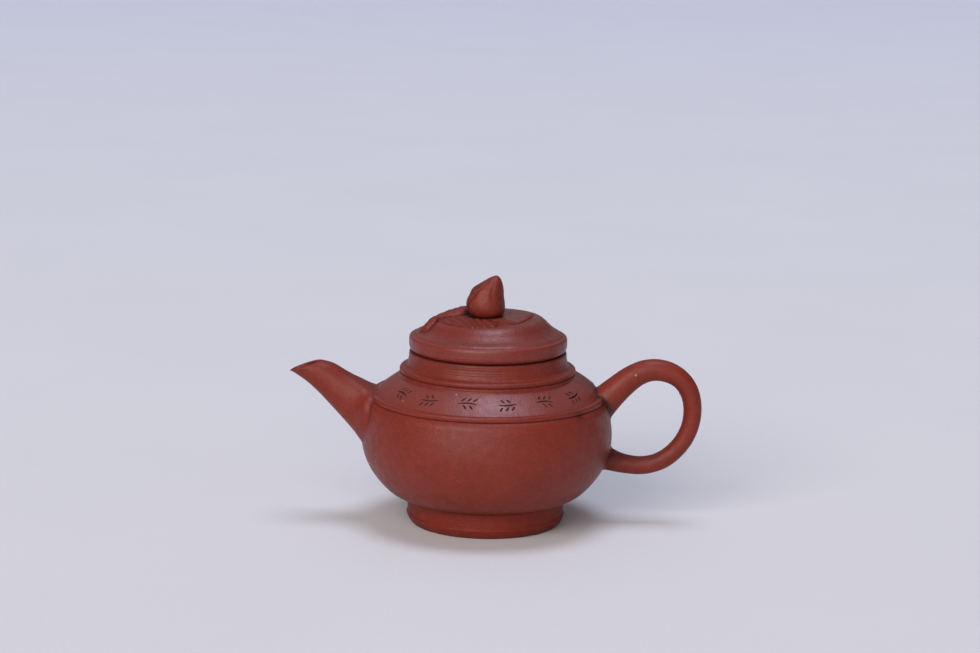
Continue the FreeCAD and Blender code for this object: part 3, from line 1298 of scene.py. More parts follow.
@dataclass
class SprigCarving:
    """Ring of small leaf sprigs cut into the shoulder, all alike and evenly spaced."""

    pot: Pot
    count: int = 16
    start: float = -101.0
    spout_gap: float = 24.0
    handle_gap: float = 16.0
    stem_half: float = 2.8
    stem_bend: float = 0.4
    stroke_width: float = 0.3
    stroke_depth: float = 0.36
    leaf_half: float = 0.86
    leaf_angle: float = 52.0
    leaf_places: tuple[float, ...] = (-1.7, -0.95, -0.1, 0.7, 1.55)
    leaf_out: float = 1.34
    sway: float = 7.0

    def stroke(self, centre: Point, half: float, angle: float, bend: float = 0.0) -> Piece:
        """One tapering stroke, lying flat with its length turned by an angle.

        Args:
            centre: its middle, along and up the band.
            half: half its length.
            angle: degrees from the band's direction.
            bend: how far its middle bows up the band.

        Returns:
            The cutter of the stroke.
        """
        Bench.clear()
        bpy.ops.mesh.primitive_uv_sphere_add(segments=10, ring_count=10, radius=1.0)
        piece = Bench.name_new("stroke")
        turn = Matrix.Rotation(math.radians(angle), 3, "Z")
        for vert in piece.data.vertices:
            length = vert.co.z
            flat = Vector((half * length, self.stroke_width * vert.co.x + bend * (1 - length * length),
                           self.stroke_depth * vert.co.y))
            vert.co = (turn @ flat + Vector((centre[0], centre[1], 0))) * MM
        return piece

    def cutter(self) -> Piece:
        """All the strokes of the ring, as one cutter.

        Returns:
            The cutter.
        """
        strokes = [self.stroke((0.0, -0.1), self.stem_half, 0.0, self.stem_bend)]
        for number, along in enumerate(self.leaf_places):
            side = 1 if number % 2 == 0 else -1
            place = (along + 0.5, side * self.leaf_out + 0.18)
            strokes.append(self.stroke(place, self.leaf_half, side * self.leaf_angle))
        sprig = Bench.join(strokes)
        radius, height = self.pot.slope(0.5)
        low = np.array(self.pot.slope(0.4))
        high = np.array(self.pot.slope(0.6))
        lean = math.atan2(high[1] - low[1], low[0] - high[0])
        stand = Matrix.Rotation(lean, 4, "X")
        copies = []
        for number in range(self.count):
            angle = (self.start + 360.0 * number / self.count) % 360.0
            if abs(angle - 180.0) < self.spout_gap or min(angle, 360.0 - angle) < self.handle_gap:
                continue
            sway = math.radians(180.0 * (number % 2) + self.sway * math.sin(2.6 * number))
            flat_turn = Matrix.Rotation(sway, 4, "Z")
            spin = Matrix.Rotation(math.radians(angle + 90.0), 4, "Z")
            shift = Matrix.Translation(Vector((0, -radius, height)) * MM)
            copies.append(Bench.duplicate(sprig, flat_turn, spin @ shift @ stand))
        bpy.data.objects.remove(sprig)
        return Bench.join(copies)


@dataclass
class Spout:
    """Straight tapering spout with a flared root, a thin lip and an open bore."""

    sizes: PotSizes
    clay: Material
    around: int = 72
    along: int = 64
    root_wall: float = 2.6
    lip: float = 0.95
    lip_round: float = 0.28
    root_middle: float = 6.5
    flare: float = 1.5
    flare_reach: float = 7.0
    fold: float = 0.75
    fold_place: float = 1.3
    fold_width: float = 1.0
    squareness: float = 1.0
    dents: Point = (8.0, 0.09)

    def stations(self) -> np.ndarray:
        """Lower edge, upper edge and half width at even steps from the root to the mouth.

        Returns:
            Rows of lower edge out and up, upper edge out and up, and half width, measured from the belly.
        """
        rows = [
            (-3.5, -6.6, -8.5, 10.1, 13.0),
            (0.0, -1.75, -4.4, 12.0, 9.6),
            (4.5, 3.4, -0.4, 14.3, 6.3),
            (9.4, 8.35, 3.9, 16.6, 4.5),
            (14.8, 13.6, 7.9, 19.0, 3.6),
            (19.6, 16.8, 11.2, 19.75, 3.15),
        ]
        return spline_through(rows, self.along)

    def ring(self, row: np.ndarray, inset: float, ease: float = 0.0) -> list[Vector]:
        """Oval across the spout.

        Args:
            row: one row of the stations.
            inset: how far the oval lies inside the spout's outside.
            ease: how far the oval is moved back from the mouth.

        Returns:
            The points of the oval.
        """
        out = self.sizes.belly_radius
        up = self.sizes.belly_height
        lower = Vector((-out - row[0], 0, up + row[1]))
        upper = Vector((-out - row[2], 0, up + row[3]))
        long_way = (upper - lower).normalized()
        back = Vector((long_way.z, 0, -long_way.x))
        centre = (lower + upper) * 0.5 + back * ease
        half_length = 0.5 * (upper - lower).length - inset
        half_width = row[4] - inset
        square = 2.0
        if inset > self.lip_round:
            half_width = min(half_width, half_length)
        else:
            square += self.squareness * smooth_step(12.0, 0.0, row[0])
        points = []
        for number in range(self.around):
            turn = FULL_TURN * number / self.around
            rise = math.copysign(abs(math.cos(turn)) ** (2 / square), math.cos(turn))
            side = math.copysign(abs(math.sin(turn)) ** (2 / square), math.sin(turn))
            points.append(centre + long_way * half_length * rise + Vector((0, half_width * side, 0)))
        return points

    def reach(self, number: int) -> float:
        """Size of the round at the root: small on top, where the fold is crisp, and wide below."""
        below = 0.5 - 0.5 * math.cos(FULL_TURN * number / self.around)
        return 0.45 + 0.3 * below

    def flank(self, number: int) -> float:
        """How much a line of the skin belongs to the upper flanks of the spout."""
        turn = FULL_TURN * number / self.around
        return smooth_step(-0.6, 0.15, math.cos(turn)) * abs(math.sin(turn))

    def flared(self, line: list[Vector], number: int) -> list[Vector]:
        """Spread the upper flanks where the spout comes to the body, and raise the fold there.

        Args:
            line: points of the skin from the root to the mouth.
            number: the line's number round the spout.

        Returns:
            The points, moved sideways.
        """
        moved = []
        for point in line:
            gap = self.sizes.gap(point)
            spread = self.flare * (1 - smooth_step(-1.0, self.flare_reach, gap)) ** 2
            push = spread + self.fold * hump(gap - self.fold_place, self.fold_width)
            moved.append(point + Vector((0, math.copysign(push * self.flank(number), point.y), 0)))
        return moved

    def build(self) -> Piece:
        """Loft the spout out along its skin, over its lip and back down its bore.

        Returns:
            The piece.
        """
        rows = self.stations()
        last = len(rows) - 1
        middle = Vector((-self.sizes.belly_radius, 0, self.sizes.belly_height + self.root_middle))
        luting = Luting(self.sizes, middle)
        skin = [self.ring(row, 0.0) for row in rows[:-1]]
        lines = []
        for number in range(self.around):
            line = self.flared([ring[number] for ring in skin], number)
            lines.append(luting.run(line, self.reach(number), self.along))
        rings = [list(ring) for ring in zip(*lines)]
        mouth = rows[-1]
        for turn in np.linspace(0.0, 0.5 * math.pi, 4):
            inset = self.lip_round * (1 - math.cos(turn))
            rings.append(self.ring(mouth, inset, self.lip_round * (1 - math.sin(turn))))
        for turn in np.linspace(0.5 * math.pi, 0.0, 4):
            inset = self.lip - self.lip_round * (1 - math.cos(turn))
            rings.append(self.ring(mouth, inset, self.lip_round * (1 - math.sin(turn))))
        for number in range(last - 1, -1, -1):
            inset = self.root_wall + (self.lip - self.root_wall) * number / last
            ring = self.ring(rows[number], inset)
            rings.append([luting.lifted(point) for point in ring])
        piece = Bench.loft("spout_clay", rings, hollow=True)
        Bench.knead(piece, *self.dents)
        Bench.paint_shade_and_residue(piece, self.shade_and_residue)
        Bench.soften(piece, Edge.ROUND)
        return settle(piece, Body.POT, self.clay, "spout")

    def shade_and_residue(self, at: Vector) -> float:
        """Dark line along the upper part of the joint with the body.

        Args:
            at: the point in millimetres.

        Returns:
            How dark it is there, 0 to 1.
        """
        gap = self.sizes.gap(at)
        upper = smooth_step(self.sizes.belly_height + 2, self.sizes.bowl_top, at.z)
        return 0.4 * upper * hump(gap, 0.3)


@dataclass
class Handle:
    """Round ear handle, thicker at its upper root."""

    sizes: PotSizes
    clay: Material
    around: int = 48
    along: int = 120
    upper_reach: float = 0.9
    lower_reach: float = 1.3
    dents: Point = (6.0, 0.08)

    def stations(self) -> np.ndarray:
        """Centre and thickness at even steps from the upper root to the lower.

        Returns:
            Rows of centre out and up, measured from the belly, and thickness.
        """
        rows = [
            (-4.5, 7.3, 9.5),
            (2.0, 13.85, 7.4),
            (10.4, 18.5, 6.25),
            (19.0, 15.45, 5.55),
            (21.87, 7.7, 5.15),
            (19.3, -1.5, 5.0),
            (11.1, -7.75, 5.1),
            (2.0, -7.45, 5.7),
            (-4.0, -5.3, 7.6),
        ]
        return spline_through(rows, self.along)

    def build(self) -> Piece:
        """Loft the handle along its bend.

        Returns:
            The piece.
        """
        rows = self.stations()
        ways = np.gradient(rows[:, :2], axis=0)
        out = self.sizes.belly_radius
        up = self.sizes.belly_height
        skin = []
        for row, way in zip(rows, ways):
            centre = Vector((out + row[0], 0, up + row[1]))
            across = Vector((way[1], 0, -way[0])).normalized()
            ring = []
            for number in range(self.around):
                turn = FULL_TURN * number / self.around
                reach = 0.5 * row[2] - self.dents[1]
                ring.append(centre + across * reach * math.cos(turn) + Vector((0, reach * math.sin(turn), 0)))
            skin.append(ring)
        half = self.along // 2
        upper = Luting(self.sizes, Vector((out - 2.0, 0, up + 9.5)))
        lower = Luting(self.sizes, Vector((out, 0, up - 7.0)))
        lines = []
        for number in range(self.around):
            line = [ring[number] for ring in skin]
            first = upper.run(line[:half], self.upper_reach, half)
            second = lower.run(line[:half - 1:-1], self.lower_reach, self.along - half)
            lines.append(first + second[::-1])
        piece = Bench.loft("handle_clay", [list(ring) for ring in zip(*lines)], hollow=False)
        Bench.knead(piece, *self.dents)
        Bench.paint_shade_and_residue(piece, self.shade_and_residue)
        Bench.soften(piece, Edge.ROUND)
        return settle(piece, Body.POT, self.clay, "handle")

    def shade_and_residue(self, at: Vector) -> float:
        """Dark slip in the joints with the body, most at the upper one, and painted shade inside the lower
        bend and over the lower part.

        Args:
            at: the point in millimetres.

        Returns:
            How dark it is painted there, 0 to 1.
        """
        gap = self.sizes.gap(at)
        height = at.z - self.sizes.belly_height
        upper = smooth_step(-2.0, 4.0, height)
        # Painted shade inside the lower bend and over the lower part, the side turned away from the light.
        inside = smooth_step(-7.6, -5.8, height) * smooth_step(-2.5, -5.0, height)
        inside *= smooth_step(18.0, 6.0, gap)
        lower = 0.12 * smooth_step(2.0, -6.0, height)
        return (0.3 + 0.6 * upper) * hump(gap, 1.2) + 0.4 * inside + lower


@dataclass
class Grains:
    """Coarse grains of sand and crumbs of clay that sit in the skin of the pot.

    Each place is the middle of a grain and its radius.
    """

    name: str
    finish: Material
    places: tuple[tuple[float, float, float, float], ...]
    dents: Point = (0.9, 0.3)

    def build(self) -> Piece:
        """Model one rough grain and set copies of it into the skin.

        Returns:
            The grains as one piece.
        """
        Bench.clear()
        bpy.ops.mesh.primitive_ico_sphere_add(subdivisions=3, radius=MM)
        grain = Bench.name_new(self.name)
        Bench.knead(grain, *self.dents)
        copies = []
        for number, (x, y, z, radius) in enumerate(self.places):
            turn = Matrix.Rotation(1.9 * number, 4, "X") @ Matrix.Rotation(0.8 * number, 4, "Z")
            shift = Matrix.Translation(Vector((x, y, z)) * MM)
            copies.append(Bench.duplicate(grain, shift @ Matrix.Scale(radius, 4) @ turn))
        bpy.data.objects.remove(grain)
        Bench.join(copies)
        piece = Bench.name_new(self.name)
        Bench.soften(piece, Edge.ROUND)
        return settle(piece, Body.POT, self.finish)


@dataclass
class Lid:
    """Turned lid: rounded rim, ogee and swelling disc, hollow below, with an air vent."""

    sizes: PotSizes
    clay: Material
    steps: int = 224
    edge_round: float = 1.75
    edge_tuck: float = 1.0
    rim_height: float = 4.05
    rim_lip: float = 0.75
    rim_swell: float = 0.32
    disc_radius: float = 15.3
    crown: float = 0.98
    lean: Point = (0.032, 0.014)
    thickness: float = 2.8
    hollow_radius: float = 12.5
    flange_bore: float = 15.9
    vent_radius: float = 0.8
    vent_place: Point = (0.6, 9.4)
    seat_gap: float = 0.06
    tip_place: Point = (-16.6, -3.0)
    tip_radius: float = 2.1
    rim_lines: Point = (0.9, 0.025)
    cove_lines: Point = (1.1, 0.004)
    dents: Point = (10.0, 0.05)
    ripples: Point = (3.0, 0.02)

    @property
    def rim_top(self) -> float:
        """Height of the rim's upper edge."""
        return self.sizes.lid_seat + self.rim_height

    def cove(self) -> list[Point]:
        """Double bend from the rim up to the edge of the disc, swelling at first and then hollow.

        Returns:
            Points of radius and height.
        """
        rim = self.sizes.lid_radius
        top = self.rim_top
        rows = [
            (rim - self.rim_lip, top + 0.3),
            (rim - 1.5, top + 0.85),
            (rim - 2.5, top + 1.32),
            (rim - 3.6, top + 1.95),
            (rim - 4.6, top + 2.72),
            (rim - 5.25, top + 3.38),
            (self.disc_radius - 0.1, self.sizes.lid_top - 0.55),
            (self.disc_radius - 1.0, self.sizes.lid_top - 0.14),
            (self.disc_radius - 2.1, self.sizes.lid_top - 0.01),
            (self.disc_radius - 3.2, self.sizes.lid_top),
        ]
        return [tuple(point) for point in spline_through(rows, 60)]

    def disc(self) -> list[Point]:
        """Flat top of the disc, before it swells."""
        top = self.sizes.lid_top
        return straight((self.disc_radius - 3.6, top), (0.0, top), 22)

    @cached_property
    def top_table(self) -> np.ndarray:
        """Top of the lid from the axis outwards, worked out once for many lookups."""
        return np.array([*self.cove(), *self.disc()])[::-1]

    def swelling(self, x: float, y: float) -> float:
        """How far the lid's top, finished by hand, swells and leans away from a true turning.

        Args:
            x: place in plan, towards the handle.
            y: place in plan, towards the back.

        Returns:
            The rise in millimetres.
        """
        radius = math.hypot(x, y)
        crown = self.crown * max(0.0, 1 - (radius / self.disc_radius) ** 3)
        upper = smooth_step(self.sizes.lid_radius - 0.6, self.sizes.lid_radius - 5.6, radius)
        return crown + (self.lean[0] * x + self.lean[1] * y) * upper

    def surface(self, x: float, y: float) -> float:
        """Height of the lid's top at a place in plan."""
        flat = float(np.interp(math.hypot(x, y), self.top_table[:, 0], self.top_table[:, 1]))
        return flat + self.swelling(x, y)

    def plate(self) -> Piece:
        """Turn the lid, swell its disc and bore its vent.

        Returns:
            The piece.
        """
        sizes = self.sizes
        radius = sizes.lid_radius
        seat = sizes.lid_seat + self.seat_gap
        top = self.rim_top
        ceiling = sizes.lid_top - self.thickness
        bulge = radius + self.rim_swell
        profile = rounded((radius - self.edge_tuck, seat), (bulge - 0.1, seat + 0.2),
                          (bulge, seat + self.edge_round), 12)
        rim = straight((bulge, seat + self.edge_round + 0.1), (bulge, top - 1.05), 12)
        profile += wheel_marked(rim, *self.rim_lines)
        profile += rounded((bulge, top - 1.0), (bulge, top + 0.12), (bulge - 0.75, top + 0.22), 14)
        profile += wheel_marked(self.cove(), *self.cove_lines)
        profile += self.disc()
        profile += [
            (0.0, sizes.lid_top),
            (0.0, ceiling),
            (self.hollow_radius, ceiling),
            (self.flange_bore, sizes.flange_top),
            (sizes.mouth_radius, sizes.flange_top),
            (sizes.mouth_radius, seat),
        ]
        piece = Bench.turn("lid_clay", profile, self.steps)
        for vert in piece.data.vertices:
            place = vert.co / MM
            flat = np.interp(math.hypot(place.x, place.y), self.top_table[:, 0], self.top_table[:, 1])
            if place.z > max(top, flat - 0.3):
                vert.co.z += self.swelling(place.x, place.y) * MM
        Bench.knead(piece, *self.dents)
        Bench.knead(piece, *self.ripples)
        Bench.clear()
        bpy.ops.mesh.primitive_cylinder_add(
            vertices=24, radius=self.vent_radius * MM, depth=4 * self.thickness * MM,
            location=Vector((*self.vent_place, sizes.lid_top)) * MM)
        Bench.cut(piece, Bench.name_new("vent"), self.clay, self.clay)
        Bench.paint_shade_and_residue(piece, self.shade_and_residue)
        Bench.soften(piece)
        return settle(piece, Body.LID, self.clay, "lid_plate")

    def shade_and_residue(self, at: Vector) -> float:
        """Painted shade round the knob's foot, in the gap at the seat and round the leaf tip, and a dull
        patina over the top.

        Args:
            at: the point in millimetres.

        Returns:
            How dark it is painted there, 0 to 1.
        """
        radius = math.hypot(at.x, at.y)
        above = smooth_step(self.sizes.lid_top - 0.5, self.sizes.lid_top, at.z)
        # Painted shade: a ring round the knob's foot, the gap at the seat and an outline round the leaf tip.
        knob = smooth_step(6.1, 4.4, math.hypot(at.x + 0.9, at.y)) * above
        disc = 0.04 * smooth_step(13.0, 8.0, radius) * above
        seat = 0.5 * smooth_step(self.sizes.lid_seat + 0.5, self.sizes.lid_seat, at.z)
        patina = 0.13 * smooth_step(self.rim_top + 0.1, self.rim_top + 0.9, at.z)
        ring = math.hypot(at.x - self.tip_place[0], at.y - self.tip_place[1]) - self.tip_radius
        tip = 0.7 * hump(ring, 0.5) * smooth_step(-0.5, 0.5, at.z - self.rim_top)
        return 0.85 * knob + disc + seat + patina + tip


@dataclass
class PeachKnob:
    """Leaning peach with a cleft, wide and rounded below, drawn up to its tip."""

    lid: Lid
    clay: Material
    around: int = 144
    along: int = 90
    cleft_depth: float = 0.11
    furrow_depth: float = 0.045
    back_depth: float = 0.09
    facet_depth: float = 0.05
    dents: Point = (2.6, 0.06)

    def outline(self) -> np.ndarray:
        """Rise, shift and radius at even steps from the stem to the tip.

        Returns:
            Rows of rise above the lid, shift towards the handle, and radius.
        """
        tip = self.lid.sizes.knob_top - self.lid.sizes.lid_top
        rows = [
            (0.2, -0.5, 3.4),
            (0.85, -0.5, 3.75),
            (1.25, -0.52, 4.25),
            (2.0, -0.6, 4.9),
            (3.1, -0.78, 5.2),
            (4.3, -0.9, 5.22),
            (5.6, -0.85, 5.0),
            (6.95, -0.6, 4.6),
            (8.0, -0.4, 4.35),
            (9.2, 0.18, 3.6),
            (10.4, 0.98, 2.45),
            (11.3, 1.45, 1.5),
            (tip - 0.15, 1.85, 0.65),
        ]
        return spline_through(rows, self.along)

    def cleft_at(self, rise: float) -> float:
        """Degrees at which the cleft runs at a rise above the lid."""
        return 194.0 + 40.0 * smooth_step(1.0, 10.5, rise)

    def furrow_at(self, rise: float) -> float:
        """Degrees at which the second furrow runs at a rise above the lid."""
        return 292.0 - 10.0 * smooth_step(4.5, 10.5, rise)

    def build(self) -> Piece:
        """Loft the peach, fold its cleft and close its tip.

        Returns:
            The piece.
        """
        rings = []
        base = self.lid.sizes.lid_top
        for rise, shift, radius in self.outline():
            ring = []
            for number in range(self.around):
                degrees = 360.0 * number / self.around
                reach = radius * self.swell(degrees, rise)
                turn = math.radians(degrees)
                ring.append(Vector((shift + reach * math.cos(turn), reach * math.sin(turn), base + rise)))
            rings.append(ring)
        top = self.lid.sizes.knob_top
        centre = sum(rings[-1], Vector()) / self.around
        for share, height in ((0.65, top - 0.04), (0.05, top)):
            cap = [centre + (point - centre) * share for point in rings[-1]]
            rings.append([Vector((point.x, point.y, height)) for point in cap])
        piece = Bench.loft("peach_knob_clay", rings, hollow=False)
        Bench.knead(piece, *self.dents)
        Bench.paint_shade_and_residue(piece, self.shade_and_residue)
        Bench.soften(piece, Edge.SOFT)
        return settle(piece, Body.LID, self.clay, "peach_knob")

    def swell(self, degrees: float, rise: float) -> float:
        """Share of the radius that is left at an angle: two furrows, a back cleft and a flat facet.

        Args:
            degrees: angle round the knob.
            rise: rise above the lid.

        Returns:
            The share.
        """
        cleft_at = self.cleft_at(rise)
        furrow_at = self.furrow_at(rise)
        waist = smooth_step(1.2, 3.2, rise)
        tip = 1 - 0.5 * smooth_step(10.0, 12.0, rise)
        cleft = self.cleft_depth * hump(degrees - cleft_at, 7.0) * waist * tip
        furrow = self.furrow_depth * hump(degrees - furrow_at, 7.5) * smooth_step(3.5, 7.5, rise) * tip
        back = self.back_depth * hump(degrees - 75.0, 8.0) * waist * tip
        facet = self.facet_depth * hump(degrees - 0.5 * (cleft_at + furrow_at), 15.0)
        facet *= smooth_step(4.0, 8.0, rise)
        return 1 - cleft - furrow - back - facet

    def shade_and_residue(self, at: Vector) -> float:
        """Painted shade under the knob, in its cleft and furrow and on its right cheek, and a darker left
        lobe.

        Args:
            at: the point in millimetres.

        Returns:
            How dark it is painted there, 0 to 1.
        """
        rise = at.z - self.lid.sizes.lid_top
        under = 0.85 * smooth_step(1.2, 0.85, rise)
        degrees = math.degrees(math.atan2(at.y, at.x + 0.6)) % 360.0
        cleft = 0.5 * hump(degrees - self.cleft_at(rise), 6.0)
        lobe = 0.3 * smooth_step(10.0, -25.0, degrees - self.cleft_at(rise))
        lobe *= smooth_step(120.0, 170.0, degrees)
        furrow = 0.15 * hump(degrees - self.furrow_at(rise), 6.0) * smooth_step(5.0, 8.0, rise)
        # Painted shade on the right cheek, the side turned away from the light.
        cheek = 0.2 * hump(degrees - 325.0, 28.0) * smooth_step(1.0, 3.0, rise)
        return under + (cleft + lobe + furrow + cheek) * smooth_step(11.6, 10.0, rise)


@dataclass
class Leaf:
    """Leaf in relief that lies on the lid, with a midrib and slanting veins."""

    lid: Lid
    clay: Material
    name: str
    spine: tuple[Point, ...]
    half_width: float
    heights: tuple[float, ...]
    edge_height: float
    vein_pitch: float
    vein_depth: float
    vein_angle: float
    rib: float = -0.12
    ridge: float = 0.0
    taper: float = 0.3
    nodes: tuple[str, ...] = ()
    along: int = 130
    across: int = 56
    rib_width: float = 0.22
    depth: float = 0.4
    dents: Point = (2.2, 0.07)

    @cached_property
    def spine_table(self) -> np.ndarray:
        """Points of the midrib in plan, and the way to the left of each.

        Returns:
            Rows of a point and a way of length 1.
        """
        points = spline_through(self.spine, 161)
        ways = np.gradient(points, axis=0)
        ways /= np.linalg.norm(ways, axis=1)[:, None]
        return np.concatenate([points, np.stack([-ways[:, 1], ways[:, 0]], axis=1)], axis=1)

    def width(self, share: float) -> float:
        """Half width at a share of the way from base to tip.

        Args:
            share: 0 at the base and 1 at the tip.

        Returns:
            The half width.
        """
        root = smooth_step(-0.12, 0.3, share)
        point = math.sqrt(max(0.0, 1 - smooth_step(self.taper, 1.0, share) ** 1.4))
        return self.half_width * max(0.04, root * point)

    def place(self, share: float, side: float) -> Vector:
        """Point of the leaf's top.

        Args:
            share: 0 at the base and 1 at the tip.
            side: -1 at the right edge and 1 at the left edge, seen from the base.

        Returns:
            The point in millimetres.
        """
        marks = np.linspace(0.0, 1.0, len(self.spine_table))
        x, y, left_x, left_y = [np.interp(share, marks, self.spine_table[:, axis]) for axis in range(4)]
        width = self.width(share)
        x += left_x * width * side
        y += left_y * width * side
        crown = float(np.interp(share, np.linspace(0.0, 1.0, len(self.heights)), self.heights))
        bent = (side - self.ridge) / (1 - self.ridge * math.copysign(1.0, side - self.ridge))
        dome = max(0.0, 1 - abs(bent) ** 2.2)
        rise = self.edge_height + (crown - self.edge_height) * dome
        rise += self.rib * hump((side - self.ridge) * width, self.rib_width) * dome
        turn = math.radians(self.vein_angle)
        lines = (x * math.sin(turn) - y * math.cos(turn)) / self.vein_pitch
        ridge_line = (0.5 + 0.5 * math.cos(FULL_TURN * lines + 1.5 * math.sin(0.7 * x))) ** 3
        rise += self.vein_depth * (ridge_line - 0.3) * min(1.0, 3 * dome)
        ends = 0.25 + 0.75 * smooth_step(1.02, 0.9, share)
        return Vector((x, y, self.lid.surface(x, y) + rise * ends))

    def under(self, at: Vector) -> float:
        """Height of the underside, a little inside the lid."""
        return self.lid.surface(at.x, at.y) - self.depth

    def build(self) -> Piece:
        """Lay the leaf on the lid.

        Returns:
            The piece.
        """
        piece = Bench.sheet(self.name, self.along, self.across, self.place, self.under)
        Bench.knead(piece, *self.dents)
        Bench.paint_shade_and_residue(piece, self.shade_and_residue)
        Bench.soften(piece, Edge.SOFT)
        return settle(piece, Body.LID, self.clay, *self.nodes)

    def shade_and_residue(self, at: Vector) -> float:
        """Painted shade where the leaf's edge meets the lid and where the leaf runs under the knob, over a
        faint patina.

        Args:
            at: the point in millimetres.

        Returns:
            How dark it is painted there, 0 to 1.
        """
        rise = at.z - self.lid.surface(at.x, at.y)
        # Painted shade at the leaf's edge and under the knob, over a faint patina.
        knob = 0.9 * smooth_step(6.9, 5.6, math.hypot(at.x + 0.8, at.y))
        return 0.1 + 0.7 * smooth_step(0.3, 0.05, rise) + knob


@dataclass
class Twig:
    """Bent twig in relief with knots and a cut end."""

    lid: Lid
    clay: Material
    radius: float = 0.85
    bend_radius: float = 11.4
    start: float = -70.0
    sweep: float = 78.0
    sway: float = 0.35
    around: int = 20
    along: int = 70
    dents: Point = (1.6, 0.06)

    def build(self) -> Piece:
        """Loft the twig along the lid's disc.

        Returns:
            The piece.
        """
        rings = []
        for number in range(self.along):
            share = number / (self.along - 1)
            angle = math.radians(self.start + self.sweep * share)
            bend = self.bend_radius + self.sway * math.sin(7 * share)
            out = Vector((math.cos(angle), math.sin(angle), 0))
            knots = 0.22 * hump(share - 0.33, 0.03) + 0.28 * hump(share - 0.72, 0.035)
            thick = self.radius * (0.35 + 0.5 * smooth_step(0.0, 0.9, share) + knots)
            foot = out * bend
            centre = foot + Vector((0, 0, self.lid.surface(foot.x, foot.y) - 0.25 * thick))
            ring = []
            for spoke in range(self.around):
                turn = FULL_TURN * spoke / self.around
                ring.append(centre + out * thick * math.cos(turn) + Vector((0, 0, thick * math.sin(turn))))
            rings.append(ring)
        piece = Bench.loft("twig_clay", rings, hollow=False)
        Bench.knead(piece, *self.dents)
        end = math.radians(self.start + self.sweep)
        Bench.paint_shade_and_residue(piece, lambda at: self.shade_and_residue(at, Vector((math.cos(end), math.sin(end)))))
        Bench.soften(piece, Edge.ROUND)
        return settle(piece, Body.LID, self.clay, "twig")

    def shade_and_residue(self, at: Vector, end: Vector) -> float:
        """Painted shade along the twig's foot and on its cut end.

        Args:
            at: the point in millimetres.
            end: the way from the lid's axis to the cut end.

        Returns:
            How dark it is painted there, 0 to 1.
        """
        rise = at.z - self.lid.surface(at.x, at.y)
        # Painted shade along the foot and on the cut end.
        cut = smooth_step(0.6, 0.2, (Vector((at.x, at.y)) - end * self.bend_radius).length)
        return 0.5 * smooth_step(0.3, 0.0, rise) + 0.4 * cut


@dataclass
class Relief:
    """The peach, leaves and twig on top of the lid."""

    lid: Lid
    clay: Material

    def leaves(self) -> list[Leaf]:
        """The leaves, each laid from its stalk to its tip.

        Returns:
            The leaves.
        """
        long_leaf = Leaf(
            self.lid, self.clay, "long_leaf_clay",
            spine=((-3.6, 3.6), (-8.5, 3.4), (-12.8, 2.2), (-15.5, -0.3), (-16.7, -3.8)),
            half_width=2.9, heights=(2.0, 2.1, 1.4, 0.65, 1.05, 1.2), edge_height=0.3,
            vein_pitch=1.7, vein_depth=0.12, vein_angle=60.0, ridge=-0.15, nodes=("long_leaf",))
        back_leaf = Leaf(
            self.lid, self.clay, "back_leaf_clay",
            spine=((-2.4, 4.2), (-5.4, 6.6), (-8.0, 8.0), (-10.6, 8.6)),
            half_width=2.8, heights=(1.9, 1.75, 1.0, 0.3), edge_height=0.2,
            vein_pitch=1.3, vein_depth=0.14, vein_angle=40.0, nodes=("back_leaf",))
        front_leaf = Leaf(
            self.lid, self.clay, "front_leaf_clay",
            spine=((2.2, -12.4), (-3.2, -9.8), (-8.6, -6.4), (-12.6, -2.6), (-13.9, -0.6)),
            half_width=3.5, heights=(0.3, 0.5, 0.6, 0.6, 0.5), edge_height=0.22,
            vein_pitch=1.6, vein_depth=0.55, vein_angle=-72.0, rib=-0.1, nodes=("front_leaf",))
        small_leaf = Leaf(
            self.lid, self.clay, "small_leaf_clay",
            spine=((7.2, -8.4), (4.0, -7.6), (0.2, -6.6)),
            half_width=1.3, heights=(0.35, 0.45, 0.4), edge_height=0.15,
            vein_pitch=1.0, vein_depth=0.1, vein_angle=-50.0, along=60, across=24)
        leaf_tip = Leaf(
            self.lid, self.clay, "leaf_tip_clay",
            spine=((-14.6, 0.5), (-15.9, -1.4), (-16.7, -4.0)),
            half_width=2.3, heights=(0.9, 1.6, 1.7, 1.3), edge_height=0.5,
            vein_pitch=1.1, vein_depth=0.1, vein_angle=20.0, taper=0.7, along=60, across=32)
        return [long_leaf, back_leaf, front_leaf, small_leaf, leaf_tip]

    def build(self) -> None:
        """Build the knob, the leaves and the twig."""
        PeachKnob(self.lid, self.clay).build()
        for leaf in self.leaves():
            leaf.build()
        Twig(self.lid, self.clay).build()


@dataclass(frozen=True)
class Lamp:
    """One wide, soft and far lamp.

    Its azimuth is to the left of the camera, its elevation above the floor, both in degrees, as is the
    width that it spans in the sky. Its strength is the light on a face that is turned to it.
    """

    name: str
    azimuth: float
    elevation: float
    strength: float
    width: float
    tint: tuple[float, float, float] = (1.0, 1.0, 1.0)

    def hang(self) -> None:
        """Hang the lamp and turn it to the pot."""
        Bench.clear()
        bpy.ops.object.light_add(type="SUN")
        lamp = bpy.context.object
        lamp.name = self.name
        lamp.data.energy = self.strength
        lamp.data.angle = math.radians(self.width)
        lamp.data.color = self.tint
        side = math.radians(self.azimuth)
        lift = math.radians(self.elevation)
        toward = Vector((-math.sin(side) * math.cos(lift), -math.cos(side) * math.cos(lift), math.sin(lift)))
        lamp.rotation_euler = toward.to_track_quat("Z", "Y").to_euler()
        lamp.location = toward


